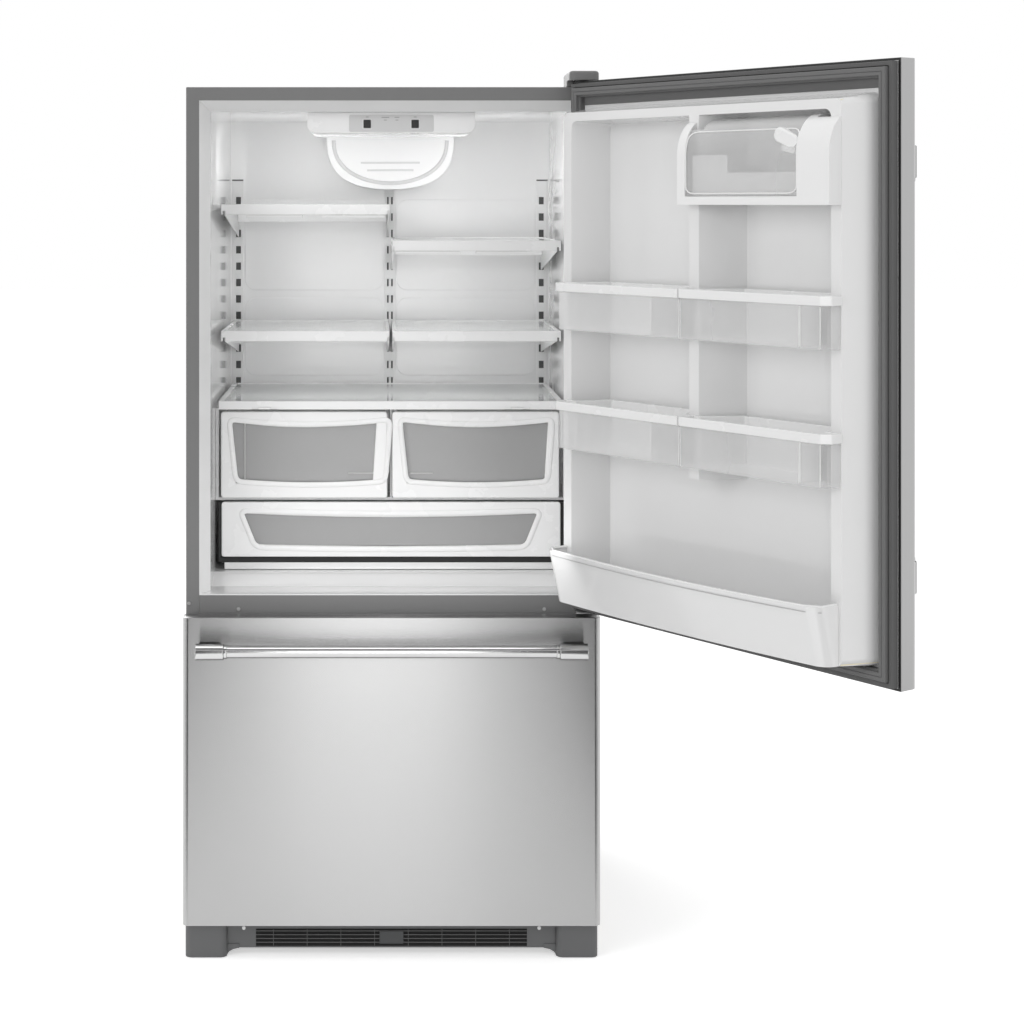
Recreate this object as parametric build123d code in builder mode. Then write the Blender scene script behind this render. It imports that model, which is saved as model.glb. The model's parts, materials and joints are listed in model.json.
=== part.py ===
from build123d import *

import os

os.makedirs("parts", exist_ok=True)

# A bottom freezer refrigerator, in millimetres. +X is to the right, +Y goes into the
# cabinet and +Z is up. The origin is on the floor, under the middle of the cabinet.
# Everything behind the cabinet's front flange is placed by its depth behind it, and
# everything on the door by its depth behind the door's steel face, with the door shut.

# ---------------------------------------------------------------- driving dimensions

# Cabinet
chamber_width = 740.0        # between the side walls of both compartments
side_wall = 46.5             # from there to the cabinet's sides
cabinet_height = 1748.0
cabinet_depth = 718.0
cabinet_base = 35.0          # height of the steel wrap's bottom edge
sheet = 1.0                  # steel sheet of the cabinet and of the door pans
flange = 26.5                # width of the painted flange round the two mouths
fit = 0.3                    # clearance between pieces that are set against each other
seam = 0.2                   # parting between neighbouring foam panels
roof = 48.0                  # from the upper ceiling to the cabinet's top
back_wall = 124.6            # from the compartments' backs to the cabinet's back
cabinet_width = chamber_width + 2 * side_wall
half = cabinet_width / 2
chamber_half = chamber_width / 2
front = -cabinet_depth / 2
back = cabinet_depth / 2
mouth_half = half - flange

# Freezer compartment
liner_wall = 2.0
flare = 34.0                 # depth over which the mouths widen to the flange
flare_rise = 23.0            # how far a mouth reaches past the floor or ceiling behind it
freezer_mouth_low = 95.0
freezer_floor = 115.0
freezer_ceiling = 640.0
freezer_mouth_high = freezer_ceiling + flare_rise
machine_room = 268.0         # depth of the machine room, from the cabinet's back
machine_top = 268.0
machine_front = cabinet_depth - machine_room
step_height = 320.0
step_back = machine_front - 10      # the floor climbs over the machine room between these two
step_front = machine_front - 55

# Fresh food compartment
rail_face = 56.0             # between the two mouths
fresh_mouth_low = freezer_mouth_high + rail_face
fresh_mouth_high = cabinet_height - flange - 0.5
fresh_floor = fresh_mouth_low + flare_rise
fresh_ceiling = cabinet_height - roof
fresh_depth = cabinet_depth - back_wall
fresh_back = front + fresh_depth
liner_half = chamber_half + liner_wall
sill_depth = 70.0            # flat part of the floor behind the mouth
sill_rise = 3.0
ramp_depth = 125.0           # where the ramp reaches the floor

# Door and freezer drawer pans
door_over = 1.0              # how far the door stands out beyond the cabinet's sides
door_rise = 9.8              # and above the cabinet's top
door_proud = 65.6            # from the steel face to the cabinet's flange
drawer_lap = 21.5            # how far the drawer laps over the rail between the mouths
door_gap = 9.1               # between the drawer and the door
drawer_low = 69.6
door_width = cabinet_width + 2 * door_over
drawer_high = freezer_mouth_high + drawer_lap
door_low = drawer_high + door_gap
door_high = cabinet_height + door_rise
door_half = door_width / 2
face = front - door_proud
pan_depth = 42.0
pan_radius = 12.0            # round of the pans' upright edges
pan_return = 17.0            # steel turned in behind the foam
plate = 2.0                  # moulded inner plate that lies on the steel return
door_angle = 125.1           # how far the door stands open
hinge_side = 24.2            # from the pan's hinge edge to the hinge axis
hinge_back = 30.9            # from the steel face to the hinge axis
pin_radius = 5.0
pin_play = 0.05
hinge_x = door_half - hinge_side
hinge_y = face + hinge_back
hinge = Axis((hinge_x, hinge_y, 0), (0, 0, 1))

# Door gasket
gasket_margin = 5.5          # from the pan's edge to the gasket
gasket_width = 28.0
gasket_base = 13.0
seal_gap = 0.3
seal_inset = 18.0            # how far the sealing face stands in at the sides and top
seal_inset_low = 7.0

# Door liner
dyke_depth = 122.0           # from the steel face to the front of the moulded rim
dyke_taper = 21.0
dyke_width = 70.0            # width of the rim at its foot
dyke_half = chamber_half + 9
dyke_half_front = dyke_half - dyke_taper
dyke_low = door_low + gasket_margin + gasket_width + 0.9
dyke_low_front = dyke_low + 6
dyke_high = door_high - 55.8
dyke_high_front = dyke_high - 12
pocket_half = dyke_half - dyke_width      # half width of the recess at its back
pocket_half_front = pocket_half + 26
pocket_low = dyke_low + 20
pocket_high = dyke_high - 34
pocket_high_front = pocket_high + 5
pillar_x = -6.5              # centre line of the upright between the two columns
pillar_half = 57.5
pillar_half_front = 12.5
trough_wall = 4.0
trough_height = 103.0
trough_half = chamber_half - 18
trough_low = dyke_low + 7
trough_high = trough_low + trough_height
trough_round = 28.0          # round of its two front corners
trough_ends = (152.0, 176.0) # depth of its front at the corners, at its floor and its edge
trough_bow = (165.0, 200.0)  # and in the middle

# Dairy compartment
dairy_height = 158.0         # from its floor to the top of the recess
dairy_sill = 15.0
dairy_left = 6.5
dairy_left_cheek = 20.0
dairy_right_cheek = 73.0
dairy_back = 100.0
dairy_reach = 52.0           # from there to the front of the cheeks
dairy_rise = 68.0            # height of the rounded top
dairy_right = -dyke_half_front
dairy_low = pocket_high - dairy_height
dairy_spring = dairy_low + 88              # height where the rounded top starts
dairy_over = dairy_spring + dairy_rise + 5
lid_wall = 2.2
lid_pivot_y = dairy_back + 30
lid_pivot_z = dairy_spring + 44
lid_pin = 2.0
lid_play = 0.5

# Door bins, placed by their share of the height between the trough and the dairy compartment
bin_front = 158.0
bin_rim_over = 5.0           # how far the rims stand out beyond the bins
bin_rim_wall = 6.5
bin_wall = 2.5
bin_height = 74.0
bin_rim = 17.0
upper_bin_share = 143 / 224
lower_bin_share = 33 / 112
upper_bin_low = trough_high + upper_bin_share * (dairy_low - trough_high)
lower_bin_low = trough_high + lower_bin_share * (dairy_low - trough_high)
pillar_low = lower_bin_low - 26

# Handles
handle_radius = 12.0
handle_end_radius = 16.0
handle_end_length = 56.0
handle_stand = 50.0
handle_post = 40.0
handle_post_height = 20.0
handle_length = chamber_width + 34
drawer_handle_z = drawer_high - 56.5
door_handle_inset = 65.0

# Crispers and pantry drawer, stacked from the floor of the compartment
drawer_front_depth = 139.4
drawer_frame = 12.0
drawer_wall = 2.5
drawer_clear = 42.0          # behind the drawers' boxes
pantry_height = 115.0
crisper_height = 181.1
pantry_low = fresh_floor + 28
pantry_high = pantry_low + pantry_height
pantry_half = chamber_half - 14
crisper_low = pantry_high + 8.5
crisper_high = crisper_low + crisper_height
crisper_outer = chamber_half - 13
crisper_inner = 5.0
drawer_box_depth = fresh_depth - drawer_front_depth - drawer_frame - drawer_clear
crisper_cover_sheet = 17.0
crisper_cover_low = crisper_high + 5.4
crisper_cover_high = crisper_cover_low + crisper_cover_sheet
crisper_cover_half = chamber_half - 9
crisper_cover_front = drawer_front_depth - 5
crisper_cover_depth = fresh_depth - crisper_cover_front - 29
slider_length = 26.0
slider_x = chamber_half - 105

# Shelf ladders on the back wall
ladder_width = 24.0
ladder_sheet = 3.0
ladder_pitch = 38.1
slot_height = 18.0
slot_width = 12.0
twin_slot_width = 4.5
twin_slot_x = 4.75
ladder_x = chamber_half - 18
ladder_low = crisper_cover_high - 52
ladder_top_slot = fresh_ceiling - 182
ladder_high = ladder_top_slot + 44
ladder_slots = int((ladder_top_slot - ladder_low - slot_height / 2) / ladder_pitch) + 1

# Shelves, hooked into the ladders' slots; the last free row still clears the crispers' cover
shelf_front = 152.4
shelf_clear = 59.0           # behind the shelves
shelf_gap = 3.0              # from the middle of the cabinet to a shelf
shelf_depth = fresh_depth - shelf_front - shelf_clear
shelf_width = chamber_half - shelf_gap - 12
shelf_trim = 22.0
shelf_side = 14.0
shelf_ring = 12.0
shelf_drop = 8.0             # from a slot's middle down to the top of its shelf
glass = 4.0
bracket_sheet = 3.0
bracket_height = 62.0
bracket_nose = 10.0
shelf_stack = shelf_drop + shelf_side + bracket_height + 5
last_row = int((ladder_top_slot - shelf_stack - crisper_cover_high) / ladder_pitch)
shelf_rows = {
    "upper_left": 0, "upper_right": round(last_row / 4),
    "lower_left": round(last_row * 7 / 8), "lower_right": round(last_row * 7 / 8),
}

# Freezer basket, tray and slides
slide_height = 46.0
slide_front = 36.0
slide_channel = 7.5
slide_low = step_height + 0.225 * (freezer_ceiling - step_height)
slide_high = slide_low + slide_height
slide_back = fresh_depth - 93.4
basket_front = 12.0
basket_wall = 3.0
basket_half = chamber_half - 25
basket_low = freezer_floor + 10
basket_back = step_front - 15
tray_front = 20.0
tray_half = chamber_half - 32
tray_high = freezer_ceiling - 80
tray_back = basket_back - 80

# Controls and lighting
housing_half = 173.5
housing_height = 43.0
housing_front = 70.0
housing_low = fresh_ceiling - housing_height
button_x = 49.5
button_z = housing_low + 19
button_width = 15.0
button_height = 17.0
button_play = 0.4
button_travel = 1.5
lamp_cover_half = 143.0
lamp_cover_height = 157.0
lamp_cover_depth = 163.4
lamp_cover_low = fresh_ceiling - lamp_cover_height
lamp_cover_front = fresh_depth - lamp_cover_depth
housing_back = lamp_cover_front - 100
lamp_z = fresh_ceiling - 80
lamp_radius = 22.0

# Cooling system
cover_face = fresh_depth - 75.4            # front of the freezer's rear cover
fan_z = freezer_ceiling - 92
fan_radius = 55.0
evaporator_z = (step_height + 15, fan_z - 73)
machine_middle = machine_front + 135       # depth of the compressor and its fan
condenser_x = (115.0, chamber_half - 40)

# Base
grille_half = chamber_half - 40.5
grille_low = 15.0
grille_high = 66.0
grille_stand = 34.0          # in front of the cabinet's flange
grille_sheet = 4.0
grille_slot_half = grille_half - 54.5
cover_outer = half - 2.5
cover_inner = grille_half + 0.5
cover_stand = 50.0
cover_wall = 3.0
roller_radius = 16.0
roller_width = 24.0
axle_radius = 4.0
roller_play = 0.06
front_roller_lift = 1.5
leg_x = chamber_half + 5
leg_y = -22.0
leg_foot = 16.0
leg_stem = 6.0
leg_plate = 25.0             # half width of the plate that carries a leg
screw_radius = 3.6

# ---------------------------------------------------------------- helpers


def upright(y):
    """The plane across the cabinet at a given y, with x to the right and z up."""
    return Plane.XZ.offset(-y)


def block(x, y, z, mode=Mode.ADD):
    """A box between pairs of limits, in the piece being built."""
    with Locations(((x[0] + x[1]) / 2, (y[0] + y[1]) / 2, (z[0] + z[1]) / 2)):
        Box(abs(x[1] - x[0]), abs(y[1] - y[0]), abs(z[1] - z[0]), mode=mode)


def prism(plane, points, near, far, mode=Mode.ADD):
    """A polygon drawn on a plane and carried from one offset of it to another."""
    with BuildSketch(plane.offset(near)) as outline:
        with BuildLine():
            Polyline(*points, close=True)
        make_face()
    extrude(outline.sketch, amount=far - near, mode=mode)


def rod(plane, x, y, radius, near, far, mode=Mode.ADD):
    """A round bar square to a plane, from one offset of it to another."""
    with BuildSketch(plane.offset(near)) as outline:
        with Locations((x, y)):
            Circle(radius)
    extrude(outline.sketch, amount=far - near, mode=mode)


def both(x):
    """The same place on the right and on the left."""
    return (x, -x)


# ---------------------------------------------------------------- cabinet

with BuildPart() as cabinet_shell:
    block((-half, half), (front, back), (cabinet_base, cabinet_height))
    fillet(cabinet_shell.edges().filter_by(Axis.Y).group_by(Axis.Z)[-1], 2 * sheet)
    block(
        (sheet - half, half - sheet), (front + sheet, back), (cabinet_base, cabinet_height - sheet),
        mode=Mode.SUBTRACT,
    )
    block(
        (-mouth_half, mouth_half), (front, front + sheet), (cabinet_base, fresh_mouth_high),
        mode=Mode.SUBTRACT,
    )

# The back sheet, and the slotted cover of the machine room below it.
back_sheet_low = machine_top + 6
inner_half = half - sheet
vent_pitch = 14.0
vent_rows = 7
with BuildPart() as rear_panels:
    block((-inner_half, inner_half), (back - sheet, back), (back_sheet_low, cabinet_height - sheet))
    block((-inner_half, inner_half), (back - sheet, back), (cabinet_base + 3, back_sheet_low - 2))
    with BuildSketch(upright(back)):
        with GridLocations(130, vent_pitch, 5, vent_rows):
            with Locations((0, (cabinet_base + machine_top) / 2)):
                SlotOverall(90, 6)
    extrude(amount=sheet, mode=Mode.SUBTRACT)

# Foam, as the convex panels that it fills: sides, ceiling, back, the divider between the
# compartments, the freezer floor and the step over the machine room.
foam_back = back - sheet
fresh_wall_back = fresh_back + liner_wall
rail_depth = 19.0
rail_share = (rail_depth - sheet) / (flare - sheet)
fresh_floor_under = fresh_mouth_low - liner_wall
freezer_roof = freezer_ceiling + liner_wall
freezer_under = freezer_floor - liner_wall
step_lean = liner_wall * 1.03
core_half = liner_half - seam
floor_front_z = freezer_mouth_low - liner_wall + (freezer_floor - freezer_mouth_low) * rail_share - fit
divider_front_z = freezer_mouth_high + liner_wall - (freezer_mouth_high - freezer_ceiling) * rail_share + fit
with BuildPart() as cabinet_foam:
    side_panel = [
        (inner_half, front + sheet), (mouth_half + liner_wall, front + sheet),
        (liner_half, front + flare), (liner_half, foam_back), (inner_half, foam_back),
    ]
    prism(Plane.XY, side_panel, cabinet_base, cabinet_height - sheet)
    prism(Plane.XY, [(-x, y) for x, y in side_panel], cabinet_base, cabinet_height - sheet)
    ceiling_panel = [
        (front + sheet, cabinet_height - sheet), (front + sheet, fresh_mouth_high + liner_wall),
        (front + flare, fresh_ceiling + liner_wall), (foam_back, fresh_ceiling + liner_wall),
        (foam_back, cabinet_height - sheet),
    ]
    prism(Plane.YZ, ceiling_panel, -core_half, core_half)
    block(
        (-core_half, core_half), (fresh_wall_back, foam_back),
        (machine_top, fresh_ceiling + liner_wall - seam),
    )
    divider_nose = [
        (front + rail_depth, divider_front_z), (front + flare, freezer_roof), (front + sill_depth, freezer_roof),
        (front + sill_depth, fresh_floor_under + sill_rise), (front + rail_depth, fresh_floor_under),
    ]
    prism(Plane.YZ, divider_nose, -core_half, core_half)
    divider = [
        (front + sill_depth + seam, freezer_roof), (fresh_wall_back - seam, freezer_roof),
        (fresh_wall_back - seam, fresh_floor - liner_wall), (front + ramp_depth, fresh_floor - liner_wall),
        (front + sill_depth + seam, fresh_floor_under + sill_rise),
    ]
    prism(Plane.YZ, divider, -core_half, core_half)
    floor_panel = [
        (front + rail_depth, grille_high), (front + rail_depth, floor_front_z),
        (front + flare, freezer_under), (front + step_front + step_lean - seam, freezer_under),
        (front + step_front + step_lean - seam, grille_high),
    ]
    prism(Plane.YZ, floor_panel, -core_half, core_half)
    step_wall = [
        (front + step_front + step_lean, freezer_under),
        (front + step_back + step_lean, step_height - liner_wall),
        (front + machine_front, step_height - liner_wall), (front + machine_front, grille_high),
        (front + step_front + step_lean, grille_high),
    ]
    prism(Plane.YZ, step_wall, -core_half, core_half)
    block(
        (-core_half, core_half), (front + machine_front + seam, fresh_wall_back - seam),
        (machine_top, step_height - liner_wall),
    )


def mouth(low, high, inner_low, inner_high, grow, mode):
    """The widening mouth of a compartment, grown outwards by a wall."""
    with BuildSketch(upright(front + sheet)) as opening:
        with Locations((0, (low + high) / 2)):
            Rectangle(2 * (mouth_half + grow), high - low + 2 * grow)
    with BuildSketch(upright(front + flare)) as throat:
        with Locations((0, (inner_low + inner_high) / 2)):
            Rectangle(2 * (chamber_half + grow), inner_high - inner_low + 2 * grow)
    loft([opening.sketch, throat.sketch], mode=mode)


# The fresh food liner: walls, a flat sill, a ramp and the floor.
sill_z = fresh_mouth_low + sill_rise
sill_flare_z = fresh_mouth_low + sill_rise * flare / sill_depth


def fresh_space(grow, mode):
    """The fresh food compartment, grown outwards by a wall."""
    mouth(fresh_mouth_low, fresh_mouth_high, sill_flare_z, fresh_ceiling, grow, mode)
    outline = [
        (front + flare, sill_flare_z - grow), (front + sill_depth, sill_z - grow),
        (front + ramp_depth, fresh_floor - grow), (fresh_back + grow, fresh_floor - grow),
        (fresh_back + grow, fresh_ceiling + grow), (front + flare, fresh_ceiling + grow),
    ]
    prism(Plane.YZ, outline, -chamber_half - grow, chamber_half + grow, mode)


with BuildPart() as fresh_food_liner:
    fresh_space(liner_wall, Mode.ADD)
    fresh_space(0, Mode.SUBTRACT)


def freezer_space(grow, mode):
    """The freezer compartment with its step, grown outwards by a wall."""
    mouth(freezer_mouth_low, freezer_mouth_high, freezer_floor, freezer_ceiling, grow, mode)
    outline = [
        (front + flare, freezer_floor - grow), (front + step_front + grow, freezer_floor - grow),
        (front + step_back + grow, step_height - grow), (fresh_back + grow, step_height - grow),
        (fresh_back + grow, freezer_ceiling + grow), (front + flare, freezer_ceiling + grow),
    ]
    prism(Plane.YZ, outline, -chamber_half - grow, chamber_half + grow, mode)


with BuildPart() as freezer_liner:
    freezer_space(liner_wall, Mode.ADD)
    freezer_space(0, Mode.SUBTRACT)

# The rail between the two mouths, and the one under the freezer.
rail_half = mouth_half - fit
rail_back = rail_depth - fit
rail_half_back = rail_half - (mouth_half - chamber_half) * rail_share
centre_rail_low = freezer_mouth_high + liner_wall + fit
centre_rail_high = fresh_floor_under - fit
rail_plan = [
    (-rail_half, front), (rail_half, front), (rail_half, front + sheet), (rail_half_back, front + rail_back),
    (-rail_half_back, front + rail_back), (-rail_half, front + sheet),
]
with BuildPart() as front_rails:
    prism(Plane.XY, rail_plan, centre_rail_low, centre_rail_high)
    prism(Plane.XY, rail_plan, grille_high + fit, freezer_mouth_low - liner_wall - fit)

# ---------------------------------------------------------------- base

beam_low = 28.0
beam_x = chamber_half - 1
side_rail = 4.0
front_axle_y = front + 60
rear_axle_y = back - 70
front_axle_z = roller_radius + front_roller_lift
ear_half = 16.0
ear_x = beam_x - side_rail
roller_outer = ear_x - 3
roller_inner = roller_outer - roller_width
axle_end = roller_inner - 4
with BuildPart() as base_frame:
    block((-beam_x, beam_x), (front + 2, front + 24), (beam_low, grille_high - fit))
    block((-beam_x, beam_x), (front + machine_front + fit, back - sheet - 1), (cabinet_base, cabinet_base + 3))
    for side in both(1):
        block((side * ear_x, side * beam_x), (front + 20, back - sheet - 1), (cabinet_base, grille_high - fit))
        block(
            (side * (leg_x - leg_plate), side * (leg_x + leg_plate)),
            (front + leg_y - leg_foot, front + 24), (beam_low, beam_low + 6),
        )
        rod(Plane.XY, side * leg_x, front + leg_y, leg_stem + pin_play, beam_low, beam_low + 6, Mode.SUBTRACT)
        for y, z in ((front_axle_y, front_axle_z), (rear_axle_y, roller_radius)):
            block((side * ear_x, side * beam_x), (y - ear_half, y + ear_half), (z - 10, cabinet_base + 10))
            rod(Plane.YZ, y, z, axle_radius, side * ear_x, side * axle_end)

with BuildPart() as front_rollers:
    for side in both(1):
        rod(Plane.YZ, front_axle_y, front_axle_z, roller_radius, side * roller_inner, side * roller_outer)
    fillet(front_rollers.edges().filter_by(GeomType.CIRCLE), 2)
    for side in both(1):
        rod(
            Plane.YZ, front_axle_y, front_axle_z, axle_radius + roller_play,
            side * roller_inner, side * roller_outer, Mode.SUBTRACT,
        )

with BuildPart() as rear_rollers:
    for side in both(1):
        rod(Plane.YZ, rear_axle_y, roller_radius, roller_radius, side * roller_inner, side * roller_outer)
    fillet(rear_rollers.edges().filter_by(GeomType.CIRCLE), 2)
    for side in both(1):
        rod(
            Plane.YZ, rear_axle_y, roller_radius, axle_radius + roller_play,
            side * roller_inner, side * roller_outer, Mode.SUBTRACT,
        )


def levelling_leg(x):
    """A foot disc with its threaded stem, under one front corner."""
    rod(Plane.XY, x, front + leg_y, leg_foot, 0, 8)
    chamfer(edges().group_by(Axis.Z)[-1], 2)
    rod(Plane.XY, x, front + leg_y, leg_stem, 8, 58)


with BuildPart() as levelling_leg_left:
    levelling_leg(-leg_x)

with BuildPart() as levelling_leg_right:
    levelling_leg(leg_x)

# The toe grille with its slats and bosses, and the two covers over the levelling legs.
slot_rows = 5
slot_pitch = 6.4
slot_open = 3.6
grille_bays = 8
bay_pitch = 2 * grille_slot_half / grille_bays
grille_y = front - grille_stand
boss_x = grille_half - 32.5
boss_z = grille_high - 11.3
cover_round = 14.0
with BuildPart() as toe_grille:
    block((-grille_half, grille_half), (grille_y, grille_y + grille_sheet), (grille_low, grille_high))
    with BuildSketch(upright(grille_y)):
        with Locations((0, grille_low + 20)):
            with GridLocations(bay_pitch, slot_pitch, grille_bays, slot_rows):
                Rectangle(bay_pitch - 5, slot_open)
    extrude(amount=-grille_sheet, mode=Mode.SUBTRACT)
    for x in both(boss_x):
        rod(upright(grille_y + grille_sheet), x, boss_z, 6, 0, grille_y + grille_sheet - front - 2 + fit)
    cover_y = (front - cover_stand, front - fit)
    for side in both(1):
        block((side * cover_inner, side * cover_outer), cover_y, (1, grille_high))
        reach = sorted((side * (cover_inner - 1), side * (cover_outer + 1)))
        rounds = edges().filter_by(Axis.Z).filter_by_position(Axis.X, *reach)
        fillet(rounds.group_by(Axis.Y)[0].filter_by_position(Axis.Z, 0, grille_high), cover_round)
        block(
            (side * (cover_inner + cover_wall), side * (cover_outer - cover_wall)),
            (cover_y[0] + 2 * cover_wall, cover_y[1]), (1, grille_high - cover_wall), Mode.SUBTRACT,
        )
        # The hollow curve that carries each cover's foot up into the grille's lower edge.
        web = [
            (side * cover_inner, 3), (side * (cover_inner - 4), 8), (side * (cover_inner - 12), 12.5),
            (side * (cover_inner - 24), grille_low), (side * (cover_inner - 24), grille_low + 8),
            (side * cover_inner, grille_low + 8),
        ]
        prism(upright(0), web, -grille_y - grille_sheet, -cover_y[0] - cover_round)

# ---------------------------------------------------------------- door pans and gaskets


def foam_slab(low, high, mode=Mode.ADD):
    """The foam that fills a pan."""
    with BuildSketch(Plane.XY.offset(low + sheet)) as outline:
        with Locations((0, face + pan_depth / 2)):
            inside = Rectangle(door_width - 2 * sheet, pan_depth - 2 * sheet)
        fillet(inside.vertices().group_by(Axis.Y)[0], pan_radius - sheet)
    extrude(outline.sketch, amount=high - low - 2 * sheet, mode=mode)


def steel_pan(low, high):
    """A brushed steel front, rounded at its upright edges and turned in behind."""
    block((-door_half, door_half), (face, face + pan_depth), (low, high))
    fillet(edges().filter_by(Axis.Z).group_by(Axis.Y)[0], pan_radius)
    foam_slab(low, high, Mode.SUBTRACT)
    x = door_half - pan_return
    block((-x, x), (face + pan_depth - sheet, face + pan_depth), (low + pan_return, high - pan_return), Mode.SUBTRACT)


def inner_plate(low, high):
    """The moulded plate that plugs a pan and laps over its steel return."""
    x = door_half - pan_return - fit
    y = face + pan_depth
    block((-x, x), (y - sheet, y + plate), (low + pan_return + fit, high - pan_return - fit))
    x = door_half - gasket_margin + 1
    block((-x, x), (y, y + plate), (low + gasket_margin - 1, high - gasket_margin + 1))


def gasket_ring(low, high):
    """The magnetic gasket, sloped at its outer edge so that it clears the hinge side."""
    x = door_half - gasket_margin
    z = (low + gasket_margin, high - gasket_margin)
    y = (face + pan_depth + plate, front - seal_gap)
    block((-x, x), (y[0], y[0] + gasket_base), z)
    with BuildSketch(upright(y[0] + gasket_base)) as base:
        with Locations((0, (z[0] + z[1]) / 2)):
            Rectangle(2 * x, z[1] - z[0])
    seal_z = (z[0] + seal_inset_low, z[1] - seal_inset)
    with BuildSketch(upright(y[1])) as seal:
        with Locations((0, (seal_z[0] + seal_z[1]) / 2)):
            Rectangle(2 * (x - seal_inset), seal_z[1] - seal_z[0])
    loft([base.sketch, seal.sketch])
    inner = x - gasket_width
    block((-inner, inner), y, (z[0] + gasket_width, z[1] - gasket_width), Mode.SUBTRACT)


bush_depth = 18.0
with BuildPart() as door_skin:
    steel_pan(door_low, door_high)
    for low, high in ((door_low, door_low + sheet), (door_high - sheet, door_high)):
        rod(Plane.XY, hinge_x, hinge_y, pin_radius + 3, low, high, Mode.SUBTRACT)

with BuildPart() as freezer_skin:
    steel_pan(drawer_low, drawer_high)

with BuildPart() as door_gasket:
    gasket_ring(door_low, door_high)

with BuildPart() as freezer_gasket:
    gasket_ring(drawer_low, drawer_high)

# ---------------------------------------------------------------- door foam and liner


def at(depth):
    """The y of a depth behind the door's steel face, with the door shut."""
    return face + depth


core_back = pan_depth - sheet
core_front = dyke_depth - liner_wall
knee = pan_depth + plate


def core_bars(mode):
    """The foam inside the liner's moulded rim and upright."""
    wall = liner_wall + 0.4
    side_low = dyke_low_front + liner_wall
    side_high = pocket_high_front + wall
    bar = [
        (pocket_half + wall, at(core_back)), (dyke_half - wall, at(core_back)), (dyke_half - wall, at(knee)),
        (dyke_half_front - wall, at(core_front)), (pocket_half_front + wall, at(core_front)),
    ]
    prism(Plane.XY, bar, side_low, side_high, mode)
    prism(Plane.XY, [(-x, y) for x, y in bar], side_low, side_high, mode)
    top = [
        (at(core_back), side_high), (at(core_front), side_high), (at(core_front), dyke_high_front - wall),
        (at(knee), dyke_high - wall), (at(core_back), dyke_high - wall),
    ]
    prism(Plane.YZ, top, wall - dyke_half_front, dyke_half_front - wall, mode)
    x = (pillar_half - wall, pillar_half_front - wall)
    pillar = [
        (pillar_x - x[0], at(core_back)), (pillar_x + x[0], at(core_back)),
        (pillar_x + x[1], at(core_front)), (pillar_x - x[1], at(core_front)),
    ]
    prism(Plane.XY, pillar, pillar_low + wall, side_high, mode)


with BuildPart() as door_foam:
    foam_slab(door_low, door_high)
    for low, high in ((door_low, door_low + bush_depth), (door_high - bush_depth, door_high)):
        rod(Plane.XY, hinge_x, hinge_y, pin_radius + 3, low, high, Mode.SUBTRACT)
    core_bars(Mode.ADD)


def trough(inset, root, low, mode):
    """The bowed front of the door's lowest pocket, from its floor to its edge."""
    sections = []
    x = trough_half - inset
    for z, end, middle in zip((low, trough_high), trough_ends, trough_bow):
        with BuildSketch(Plane.XY.offset(z)) as section:
            with BuildLine():
                ThreePointArc((-x, at(end - inset)), (0, at(middle - inset)), (x, at(end - inset)))
                Polyline((x, at(end - inset)), (x, at(root)), (-x, at(root)), (-x, at(end - inset)))
            make_face()
            fillet(section.vertices().group_by(Axis.Y)[-1], trough_round - inset)
        sections.append(section.sketch)
    loft(sections, mode=mode)


with BuildPart() as door_liner:
    inner_plate(door_low, door_high)
    with BuildSketch(upright(at(knee))):
        with Locations((0, (dyke_low + dyke_high) / 2)):
            RectangleRounded(2 * dyke_half, dyke_high - dyke_low, 18)
    with BuildSketch(upright(at(dyke_depth))):
        with Locations((0, (dyke_low_front + dyke_high_front) / 2)):
            RectangleRounded(2 * dyke_half_front, dyke_high_front - dyke_low_front, 12)
    loft()
    trough(0, dyke_depth - 1, trough_low, Mode.ADD)
    # The recess, down to the trough's floor, and the upright that is left standing in it.
    with BuildSketch(upright(at(knee))):
        with Locations((0, (pocket_low + pocket_high) / 2)):
            RectangleRounded(2 * pocket_half, pocket_high - pocket_low, 14)
    with BuildSketch(upright(at(dyke_depth))):
        with Locations((0, (pocket_low - 2 + pocket_high_front) / 2)):
            RectangleRounded(2 * pocket_half_front, pocket_high_front - pocket_low + 2, 14)
    loft(mode=Mode.SUBTRACT)
    trough(trough_wall, dyke_depth, trough_low + 2 * trough_wall, Mode.SUBTRACT)
    pillar_face = [
        (pillar_x - pillar_half, at(knee) - 1), (pillar_x + pillar_half, at(knee) - 1),
        (pillar_x + pillar_half_front, at(dyke_depth)), (pillar_x - pillar_half_front, at(dyke_depth)),
    ]
    prism(Plane.XY, pillar_face, pillar_low, pocket_high + 6)
    core_bars(Mode.SUBTRACT)

# ---------------------------------------------------------------- door bins

bin_seat = dyke_depth + fit


def bin_outline(side, rim, over):
    """Half of the door's bins in plan: a tongue in the recess and a wide front."""
    inner = pillar_half + 4 - rim
    tongue = pocket_half + pillar_x - 3 + rim
    tongue_front = pocket_half_front + pillar_x - 5 + rim
    wide = dyke_half_front - 8 + over
    middle = pillar_x + side * (2 - rim / 2)
    return [
        (pillar_x + side * inner, at(knee + 8 - rim)), (pillar_x + side * tongue, at(knee + 8 - rim)),
        (pillar_x + side * tongue_front, at(bin_seat)), (pillar_x + side * wide, at(bin_seat)),
        (pillar_x + side * wide, at(bin_front - 14 + over)), (pillar_x + side * (wide - 14), at(bin_front + over)),
        (middle, at(bin_front + over)), (middle, at(bin_seat)), (pillar_x + side * (inner - 42), at(bin_seat)),
    ]


def bin_body(side, low):
    """One clear bin, open at the top."""
    outline = bin_outline(side, 0, 0)
    prism(Plane.XY, outline, low, low + bin_height)
    with BuildSketch(Plane.XY.offset(low + bin_wall)) as inside:
        with BuildLine():
            Polyline(*outline, close=True)
        make_face()
        offset(amount=-bin_wall, kind=Kind.INTERSECTION, mode=Mode.REPLACE)
    extrude(inside.sketch, amount=bin_height, mode=Mode.SUBTRACT)


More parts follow.
